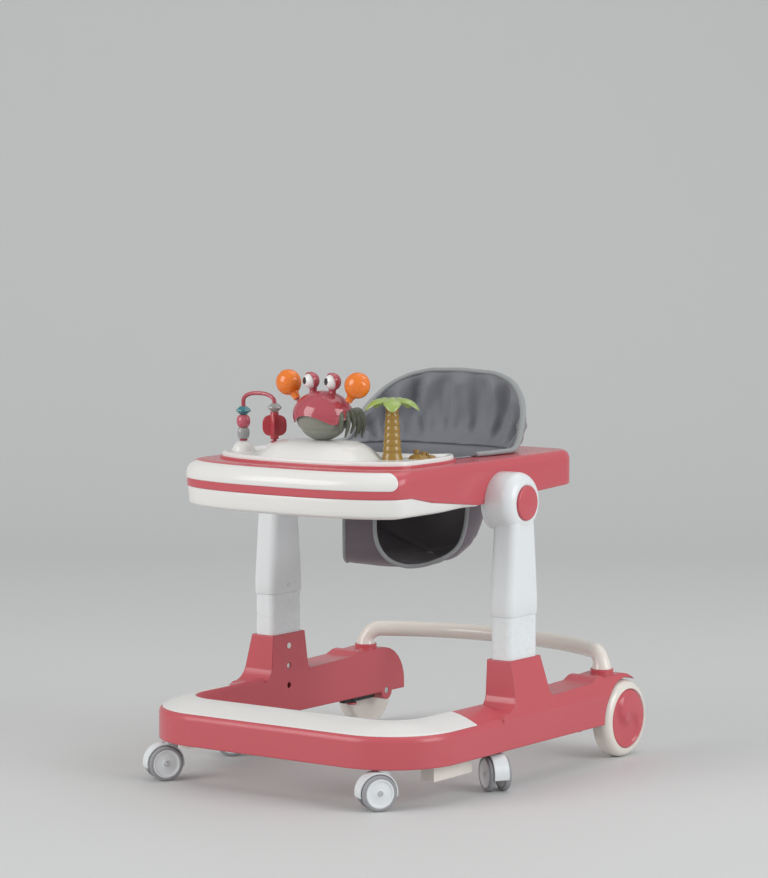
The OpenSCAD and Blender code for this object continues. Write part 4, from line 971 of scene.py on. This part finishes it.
def makeBeads(v):
    for name, (i, z, profile, sidesCount, material) in beads.items():
        loop = profile + profile[:1]
        P = turned(loop, (v["x"] + i * v["span"], v["y"], v["foot"] + z), n=sidesCount)
        words = name.split("_")
        makePiece(words[0] + words[1].title(), P, name, material, [name], sharp=22 if sidesCount < 20 else 40)


def makePaddle(v, size=17.4, thick=3.2):
    """Crossed rounded plates on a tube: each plate's outline is |x|^3 + |z|^3 = size^3, its edge a half ellipse."""
    cx, cy, z0 = v["x"] + v["span"], v["y"], v["foot"] + 4.4
    a = np.linspace(0, tau, 97)
    c, s = np.cos(a), np.sin(a)
    k = (np.abs(c) ** 3 + np.abs(s) ** 3) ** (-1 / 3)
    parts = []
    for turn in (v["turn"], v["turn"] + math.pi / 2):
        rows = []
        for q in np.radians(np.linspace(-90, 90, 9)):
            scale = size - 1.4 + 1.4 * math.cos(q)
            x, z, off = k * c * scale, 0.88 * k * s * scale, thick / 2 * math.sin(q)
            rows.append(np.stack([cx + x * math.cos(turn) - off * math.sin(turn),
                                  cy + x * math.sin(turn) + off * math.cos(turn), z0 + 19.5 + z], -1))
        parts.append(capped(np.stack(rows)))
    tube = [(3.05, 0), (5.6, 0), (6, 0.6), (6, 38), (5.4, 39), (3.05, 39), (3.05, 0)]
    parts.append(turned(tube, (cx, cy, z0), n=40))
    makePiece("redPaddle", parts, "red_paddle", paddleRed, ["red_paddle"], sharp=40)


makeArch(archSizes)
makeBeads(archSizes)
makePaddle(archSizes)

# ---------- crab ----------
crabSizes = {"y": -170, "z": 525, "rx": 44, "ry": 40, "rz": 34, "rest": 489, "clawX": 45, "clawZ": 545, "clawTilt": 34, "clawArm": 28,
             "eyeX": 19, "eyeY": -173, "eyeZ": 572, "eyeR": 11}


def ellipsoid(centre, radii, n=40, m=72, shape=None):
    """x = rx cos(lat) cos(lon) and so on; shape(lat, lon) may stretch the radius."""
    lat = np.linspace(-math.pi / 2, math.pi / 2, n)
    lon = np.linspace(0, tau, m + 1)
    A, B = np.meshgrid(lat, lon, indexing="ij")
    k = 1.0 if shape is None else shape(A, B)[..., None]
    p = np.stack([np.cos(A) * np.cos(B), np.cos(A) * np.sin(B), np.sin(A)], -1)
    return np.array(centre, float) + p * np.array(radii, float) * k


def makeCrab(v):
    # hood: upper part of an ellipsoid whose rim lifts in front and hangs low behind, with a rolled lip
    lon = np.linspace(0, tau, 121)
    away = np.degrees(np.arccos(np.cos(lon + math.pi / 2)))  # angle from the front
    rimLat = np.interp(away, [0, 18, 40, 58, 78, 105, 140, 180], [4, 0, -12, -22, -10, 14, 8, -2])
    rimLat = np.radians(np.convolve(np.r_[rimLat[-5:-1], rimLat, rimLat[1:5]], np.ones(9) / 9, "valid"))
    t = np.linspace(0, 1, 36)[:, None]
    lat = rimLat[None] + (math.pi / 2 - rimLat[None]) * t
    shell = np.stack([np.cos(lat) * np.cos(lon), np.cos(lat) * np.sin(lon), np.sin(lat)], -1)
    outer = shell * (v["rx"], v["ry"], v["rz"])
    inner = shell * (v["rx"] - 2.6, v["ry"] - 2.6, v["rz"] - 2.6)
    lipA, lipB = outer[:1] * 1.012, inner[:1] * 0.995
    lipA[..., 2] -= 1.4
    lipB[..., 2] -= 1.4
    hood = np.concatenate([inner[::-1], lipB, lipA, outer]) + (0, v["y"], v["z"])
    stalks = [turned(np.concatenate([[(0, 0), (6.5, 0)], arcPoints(9.2, 9, 4.2, 215, 150, 8), [(5.2, 14), (0, 14)]]),
                     (s * 17, v["y"], v["z"] + 24)) for s in (1, -1)]
    pins = []
    for s in (1, -1):
        a = math.radians(v["clawTilt"])
        pins.append(turned([(0, -9), (2.5, -9), (2.5, 9), (0, 9)], (s * v["clawX"], v["y"], v["clawZ"]), (s * math.sin(a), 0, math.cos(a)), 24))
    # eyelids: the back of a slightly larger ball, cut by a tilted plane
    lids = []
    for s in (1, -1):
        lat2 = np.linspace(math.radians(-8), math.pi / 2, 18)[:, None]
        lon2 = np.linspace(0, tau, 61)[None]
        ball = np.stack([np.cos(lat2) * np.cos(lon2), np.cos(lat2) * np.sin(lon2), np.sin(lat2) + 0 * lon2], -1)
        ball = np.concatenate([ball[::-1] * (v["eyeR"] + 0.25), ball * (v["eyeR"] + 1.8)])
        tilt = math.radians(-78)
        spin = math.radians(-24)
        Rx = np.array([[1, 0, 0], [0, math.cos(tilt), -math.sin(tilt)], [0, math.sin(tilt), math.cos(tilt)]])
        Rz = np.array([[math.cos(spin), -math.sin(spin), 0], [math.sin(spin), math.cos(spin), 0], [0, 0, 1]])
        lids.append(ball @ (Rz @ Rx).T + (s * v["eyeX"], v["eyeY"], v["eyeZ"]))
    makePiece("crabHood", [hood] + stalks + pins + lids, "toys", roseGloss, ["crab_body"], sharp=50)
    # face: a bowl that runs down to the dome of the tray; its mirror is painted flat grey-green, a painted reflection
    lat = np.linspace(-math.pi / 2, math.radians(12), 30)
    A, B = np.meshgrid(lat, np.linspace(0, tau, 97), indexing="ij")
    bowl = np.stack([np.cos(A) * np.cos(B) * (v["rx"] - 4.5), np.cos(A) * np.sin(B) * (v["ry"] - 4.5),
                     np.where(A < 0, np.sin(A) * (v["z"] - v["rest"] + 1), np.sin(A) * 30)], -1)
    bowl[..., 2] += 1.5 * np.exp(-((A + 0.62) / 0.07) ** 2)  # a raised ring low on the bowl
    bowl = np.concatenate([bowl, np.broadcast_to(np.array((0, 0, bowl[-1, 0, 2])), bowl[-1:].shape)]) + (0, v["y"], v["z"])
    makePiece("crabFace", bowl, "toys", mirrorReflectionGrey, ["crab_mirror"], sharp=50)
    # a bunch of bent legs on each side, tapering to their tips
    legs = []
    for fore, reach, low in ((-9, 11, 26), (0, 15, 32), (8, 18, 27), (15, 19, 33), (22, 17, 28), (29, 13, 34), (36, 7, 28)):
        root = np.array((31.0, v["y"] + fore * 0.8, v["z"] + 1))
        path = smoothLine([root, root + (reach * 0.55, fore * 0.25, 3), root + (reach * 0.9, fore * 0.5, -low * 0.42),
                           root + (reach * 0.55, fore * 0.62, -low)], 10)
        thick = np.interp(np.linspace(0, 1, len(path)), [0, 0.45, 1], [4.6, 5.2, 1.2])
        ring = thick[:, None, None] * disc(1.0, 16)[None]
        leg = capped(sweep(path, ring, up=(0, 1, 0)))
        small = (leg - root) * (0.45, 0.9, 0.6) + root
        legs += [leg, mirrored(small)]
    makePiece("crabLegs", legs, "toys", legGrey)
    makePiece("crabEyes", [ellipsoid((s * v["eyeX"], v["eyeY"], v["eyeZ"]), (v["eyeR"],) * 3) for s in (1, -1)], "toys",
              eyeWhite, ["crab_eyes"])
    look = np.array((-0.42, -0.90, 0.05))
    look /= np.linalg.norm(look)
    pupils = []
    for s in (1, -1):
        a = np.radians(np.linspace(0, 26, 9))
        profile = np.concatenate([np.stack([(v["eyeR"] + 0.45) * np.sin(a), (v["eyeR"] + 0.45) * np.cos(a)], -1),
                                  [((v["eyeR"] - 0.4) * math.sin(a[-1]), (v["eyeR"] - 0.4) * math.cos(a[-1])), (0, v["eyeR"] - 0.4)]])
        pupils.append(turned(profile, (s * v["eyeX"], v["eyeY"], v["eyeZ"]), look, 40))
    makePiece("crabPupils", pupils, "toys", pupilBlack, ["crab_pupils"])
    for s, side in ((1, "left"), (-1, "right")):
        # claw: a mitten, round with a notch at its top and a flat palm
        def mitten(lat, lon):
            notch = np.exp(-((lat - 1.15) / 0.22) ** 2) * np.exp(-(np.sin(lon * 0.5 + 0.3) / 0.35) ** 2)
            return 1 - 0.16 * notch - 0.05 * np.cos(2 * lon) * np.cos(lat)
        ball = ellipsoid((0, 0, v["clawArm"]), (19.5, 16.5, 19), shape=mitten)
        arm = turned(np.concatenate([[(2.56, 0.6), (5, 0.6)], smoothLine([(5, 1.2), (5.4, 5), (6.4, 9), (9.5, 14)], 5),
                                     [(2.56, 14), (2.56, 0.6)]]), (0, 0, 0), n=32)
        a = math.radians(v["clawTilt"])
        tilt = np.array([[math.cos(a), 0, math.sin(a)], [0, 1, 0], [-math.sin(a), 0, math.cos(a)]])
        parts = [p @ tilt.T + (v["clawX"], v["y"], v["clawZ"]) for p in (ball, arm)]
        if s < 0:
            parts = [mirrored(p) for p in parts]
        makePiece("crabClaw." + side, parts, "claw_" + side, orangeGloss, ["crab_claw_" + side], sharp=50)


makeCrab(crabSizes)

# ---------- palm and sand island ----------
palmSizes = {"x": 100, "y": -141, "z": 464, "h": 76, "foot": 16, "neck": 8.6, "rings": 8, "leafLong": 41, "leafWide": 13}


def makePalm(v):
    # trunk: a cone with soft rings, radius = taper + 0.6 |sin| of the ring angle
    h = np.linspace(0, 1, 110)
    r = v["neck"] + (v["foot"] - 3 - v["neck"]) * (1 - h) ** 1.3 + 2.5 * np.exp(-h * 26) + 1.0 * np.abs(np.sin(np.pi * v["rings"] * h))
    trunk = turned(np.concatenate([[(0, 0)], np.stack([r, h * v["h"]], -1), [(0, v["h"])]]), (v["x"], v["y"], v["z"]), n=40)
    makePiece("palmTrunk", trunk, "toys", trunkOlive, ["palm_trunk"])
    leaves = []
    for k, turn in enumerate(np.radians([18, 72 + 18, 144 + 18, 216 + 18, 288 + 18])):
        # leaf: length outward with a droop, width as a sine, and a raised midrib that folds the two halves down
        u = np.linspace(0, 1, 22)[:, None]
        w = np.linspace(-1, 1, 15)[None]
        out = 3 + v["leafLong"] * (u - 0.10 * u ** 3)
        rise = 7 + 5.5 * np.sin(u * 1.9) - 18.5 * u ** 2.4
        wide = v["leafWide"] * (0.38 + 0.62 * np.sin(np.pi * np.clip(u * 0.92 + 0.08, 0, 1)) ** 0.8) * np.sqrt(np.clip(1 - u ** 7, 0, 1))
        fold = -3.6 * (np.abs(w) ** 1.5) * np.sin(np.pi * (0.15 + 0.8 * u)) + 0.25 * np.cos(w * 15) * np.sin(np.pi * u)
        x, y, z = out + 0 * w, wide * w, rise + fold
        thick = 3.4 * np.sqrt(np.clip(1 - np.abs(w) ** 4, 0, 1)) * np.sqrt(np.clip(1 - u ** 9, 0, 1)) + 0.1
        c, s = math.cos(turn), math.sin(turn)
        top = np.stack([x * c - y * s, x * s + y * c, z + thick / 2], -1)
        low = np.stack([x * c - y * s, x * s + y * c, z - thick / 2], -1)
        leaves.append(capped(np.concatenate([top, low[:, ::-1], top[:, :1]], 1) + (v["x"], v["y"], v["z"] + v["h"])))
    crown = turned([(0, -1), (8.6, -1), (9, 2), (7.5, 8), (4, 11), (0, 12)], (v["x"], v["y"], v["z"] + v["h"]), n=32)
    makePiece("palmLeaves", leaves + [crown], "toys", leafGreen, ["palm_leaves"], sharp=60)


islandSizes = {"z": 464.5, "mounds": [(126, -114, 15, 7), (134, -98, 10, 5), (113, -99, 9, 5)]}


def makeIsland(v):
    """Low rounded mounds and three small crenellated towers of packed sand."""
    parts = []
    for x, y, r, h in v["mounds"]:
        a = np.linspace(0, math.pi / 2, 10)
        dome = ellipsoid((x, y, v["z"]), (r, r * 0.86, h), 24, 40, shape=lambda A, B: 1 + 0.05 * np.sin(5 * B) * np.cos(A) + 0.03 * np.sin(9 * B + 2))
        dome[..., 2] = np.maximum(dome[..., 2], v["z"] - 0.4)
        parts.append(dome)
    for x, y, r, h in ((122, -113, 4.6, 13), (131, -109, 3.8, 10), (129, -98, 3.4, 8)):
        wall = [(0, 0), (r, 0), (r * 0.86, h * 0.78), (r * 1.02, h * 0.8), (r * 1.0, h), (r * 0.66, h), (r * 0.64, h * 0.86), (0, h * 0.86)]
        parts.append(turned(wall, (x, y, v["z"]), n=8))
    makePiece("sandIsland", parts, "toys", sandBrown, ["sand_island"], sharp=30)


makePalm(palmSizes)
makeIsland(islandSizes)
print("toys dressed")

# ---------- seat ----------
seatSizes = {"base": 459.4, "thick": 7, "columns": 300, "rows": 48, "piping": 3.6, "spread": 22,
             # each fold: where it starts along the foot, how far it leans, width, depth, and where up the wall it begins
             "folds": [(84, 4, 6, 4.2, 0.1), (101, -6, 5, 6.5, 0.0), (120, -14, 6, 8.0, 0.0), (136, 10, 5, 5.0, 0.2),
                       (152, -18, 6, 9.0, 0.0), (172, 12, 6, 4.4, 0.25), (190, -12, 6, 6.8, 0.05), (214, 10, 7, 4.4, 0.3),
                       (236, -8, 7, 5.8, 0.1)]}


def wallLine(v, n):
    """The seat back's foot in plan: round the opening, from its left side behind to its right side."""
    t = traySizes
    h, r, b = t["holeHalf"] - 1.2, t["holeCorner"], t["holeRear"] - 1.2
    half = np.concatenate([[(h, 6.0), (h, b - r)], arcPoints(h - r, b - r, r, 0, 90, 30)[1:], [(0, b)]])
    line = np.concatenate([half, (half * (-1, 1))[-2::-1]])
    return evenly(line, n)


def makeSeatBack(v):
    n, m = v["columns"], v["rows"]
    foot = wallLine(v, n)
    t = np.gradient(foot, axis=0)
    for _ in range(20):
        t[1:-1] = (t[:-2] + 2 * t[1:-1] + t[2:]) / 4
    t /= np.linalg.norm(t, axis=1)[:, None]
    out = np.stack([t[:, 1], -t[:, 0]], -1)
    out *= np.sign((out * (foot - (0, 40))).sum())
    # height of the rim above the tray: flat flaps at both ends, a steep climb at the corners, then level
    s = np.linspace(0, 1, n)
    fromEnd = np.minimum(s, 1 - s) * 2
    at = [0, 0.32, 0.345, 0.38, 0.42, 0.50, 0.569, 0.659, 0.768, 1.0]
    high = np.where(s < 0.5, np.interp(fromEnd, at, [2.5, 3, 5, 14, 33, 58, 76, 96, 107, 110]),
                    np.interp(fromEnd, at, [2.5, 3, 6, 20, 42, 68, 86, 100, 108, 110]))
    high = np.convolve(np.pad(high, 5, "edge"), np.ones(11) / 11, "valid")
    q = np.linspace(0, 1, m)[None]
    rise = high[:, None] * (0.12 * q + 0.88 * q ** (1 + 4 * np.exp(-high[:, None] / 14)))
    # the wall spreads over the tray's edge first and then stands up: 1 - (1 - q)^k, k growing with its height
    spread = v["spread"] * np.interp(fromEnd, [0, 0.1, 0.3, 1], [0.55, 0.8, 1, 1])[:, None]
    flare = spread * (1 - (1 - q) ** (1.2 + high[:, None] / 17)) + 2.5 * np.sin(np.pi * q) * easeIn(high, 20, 70)[:, None]
    # folds: narrow creases that start near the foot and fan out towards the rim
    length = s * 512
    folds = np.zeros((n, m))
    for at, lean, wide, deep, start in v["folds"]:
        here = at + lean * q + 3 * np.sin(5 * q + at)
        wideHere = wide * (0.7 + 0.9 * q)
        live = easeIn(q, start - 0.05, start + 0.2) * (1 - 0.8 * easeIn(q, 0.8, 1.0))
        for x, k in (((length[:, None] - here) / wideHere, 1), ((512 - length[:, None] - here) / wideHere, 1)):
            folds += k * deep * live * (np.exp(-x ** 2) - 0.6 * np.exp(-((x - 1.7) / 1.3) ** 2))
    folds += 0.8 * np.sin(length[:, None] / 7.3 + 4 * q) * np.sin(3.3 * q * math.pi + length[:, None] / 31)
    folds *= easeIn(high, 4, 30)[:, None]
    # thickness is laid on across the profile, on its inner and upper side
    dz, do = np.gradient(rise, axis=1), np.gradient(flare, axis=1)
    size = np.hypot(dz, do) + 1e-9
    across = np.stack([-dz / size, do / size], -1)

    def wall(by):
        p = foot[:, None] + out[:, None] * (flare + by * across[..., 0])[..., None]
        return np.concatenate([p, (v["base"] + rise + by * across[..., 1])[..., None]], -1)

    pad = v["thick"] * np.interp(high, [3, 30], [0.35, 1])[:, None] * np.sqrt(np.clip(1 - (2 * q - 1) ** 8, 0.15, 1))
    A, B = wall(0 * q - 0.35 * folds.clip(0)), wall(pad - folds)
    P = np.concatenate([A, B[:, ::-1], A[:, :1]], 1)
    seatWall = makePiece("seatBack", capped(P), "tray", seatCloth, ["seat_back"], sharp=180)
    # rolled edging along the rim and down its two ends
    rim = wall(pad / 2)[:, -1] + (0, 0, 0.8)
    ring = disc(1.0, 18) * (v["piping"] + 1.0, v["piping"])
    makePiece("seatBackEdging", capped(sweep(rim, ring)), "tray", pipingCloth, sharp=180)
    print("seat back sewn")


makeSeatBack(seatSizes)


def makeBucket(v):
    """A sling from the front of the opening, under the crotch and up behind, each row a superellipse in plan:
    x = half width * sin^(2/k), y = end + (middle - end) * cos^(2/k) of a quarter turn."""
    # half width, middle y, end y, middle z, end z, k
    stations = np.array([(27, -80.5, -80.5, 404, 404, 2), (27, -83, -83, 378, 378, 2), (28, -83.5, -83, 352, 351, 2),
                         (32, -80, -77, 329, 328, 2), (41, -68, -64, 309, 310, 2), (54, -44, -41, 298, 300, 2),
                         (65, -6, -18, 294, 299, 2), (76, 42, 10, 293, 305, 2), (83, 86, 33, 298, 314, 2.1),
                         (88, 122, 47, 314, 328, 2.3), (92, 146, 54, 344, 352, 2.5), (95, 157, 55, 378, 380, 2.7),
                         (100, 158.5, 52, 410, 406, 2.8)], float)
    n, m = 150, 97
    line = smoothLine(stations, 14)
    s = np.r_[0, np.cumsum(np.hypot(np.hypot(*np.diff(line[:, 1:5:2], axis=0).T), 0.3 * np.diff(line[:, 0])))]
    line = np.stack([np.interp(np.linspace(0, s[-1], n), s, line[:, k]) for k in range(6)], -1)
    half, yMid, yEnd, zMid, zEnd, k = (line[:, j:j + 1] for j in range(6))
    w = np.linspace(-1, 1, m)[None]
    turn = np.abs(w) * np.pi / 2
    X = half * np.sign(w) * np.sin(turn) ** (2 / k)
    Y = yEnd + (yMid - yEnd) * np.cos(turn).clip(0) ** (2 / k)
    Z = zMid + (zEnd - zMid) * np.abs(w) ** 1.6
    mid = np.stack([X, Y, Z], -1)
    du, dv = np.gradient(mid, axis=0), np.gradient(mid, axis=1)
    inner = np.cross(du, dv)
    inner /= np.linalg.norm(inner, axis=2)[..., None] + 1e-9
    for _ in range(3):
        inner[1:-1, 1:-1] = (inner[:-2, 1:-1] + inner[2:, 1:-1] + inner[1:-1, :-2] + inner[1:-1, 2:]) / 4
        inner /= np.linalg.norm(inner, axis=2)[..., None] + 1e-9
    if (inner * (np.array((0, 20, 360)) - mid)).sum() < 0:
        inner = -inner
    u = np.linspace(0, 1, n)[:, None]
    # sewn lines: one across the front panel, a long cross over the back of the pad, and soft creases between
    seam = lambda d, wide: np.exp(-(d / wide) ** 2)
    crease = 1.3 * np.sin(u * 40 + 3 * w) * np.cos(w * 5 + u * 9) * easeIn(u, 0.1, 0.4)
    crease = crease + 2.6 * seam(u - 0.16, 0.008) + 3.2 * seam((u - 0.66) - 0.16 * w, 0.012) + 3.2 * seam((u - 0.66) + 0.16 * w, 0.012)
    pad = v["thick"] * 0.75 * (0.35 + 0.65 * np.sqrt(np.clip(1 - np.abs(w) ** 8, 0, 1)))
    A = mid + inner * (0.45 * crease)[..., None]
    B = mid + inner * (pad - 0.6 * crease)[..., None]
    P = np.concatenate([A, B[:, ::-1], A[:, :1]], 1)
    sling = makePiece("seatSling", capped(P), "tray", panelCloth, ["seat_bucket"], sharp=180)
    for k, name in ((0, "right"), (-1, "left")):
        path = mid[:, k] + inner[:, k] * (pad[:, k] / 2)[:, None]
        makePiece("slingEdging." + name, capped(sweep(path, disc(1.0, 16) * (3.0, 3.0), up=(1, 0.01, 0.02))), "tray", pipingCloth, sharp=180)
    # near-black sheet just inside the sling, seen through the leg holes: painted shade of the seat's shaded inside
    near = B[:, 2:-2] + inner[:, 2:-2] * 0.25
    far = near + inner[:, 2:-2] * 0.7
    P = np.concatenate([near, far[:, ::-1], near[:, :1]], 1)
    makePiece("seatInsideShade", capped(P), "tray", insideShadeCloth, sharp=180)
    # band that lines the opening, from its foot up over the tray's edge
    t = traySizes
    loop = trayLine(t, 240)
    hole = holeLine(t, 240, loop)
    inward = leftHand(hole)
    rows = []
    for inset, z in ((0.6, 1), (0.5, 14), (0.5, 30), (0.5, 46), (0.5, 58), (0.2, 60.2), (-1.2, 61.4), (-4.0, 61.2), (-5.2, 60.6), (-4.4, 60.3),
                     (0.9, 60.2), (3.6, 56), (4.6, 46), (4.8, 30), (4.6, 14), (3.2, -1), (1.6, -2), (0.6, 1)):
        ripple = 0.5 * np.sin(np.linspace(0, tau * 23, 240)) * (1 if 10 < z < 50 else 0)
        p = hole + inward * (inset + ripple[:, None])
        rows.append(np.concatenate([p, np.full((240, 1), z + t["pivotZ"])], -1))
    band = makePiece("seatBand", np.stack(rows), "tray", seatCloth, sharp=180)


makeBucket(seatSizes)
print("seat dressed")
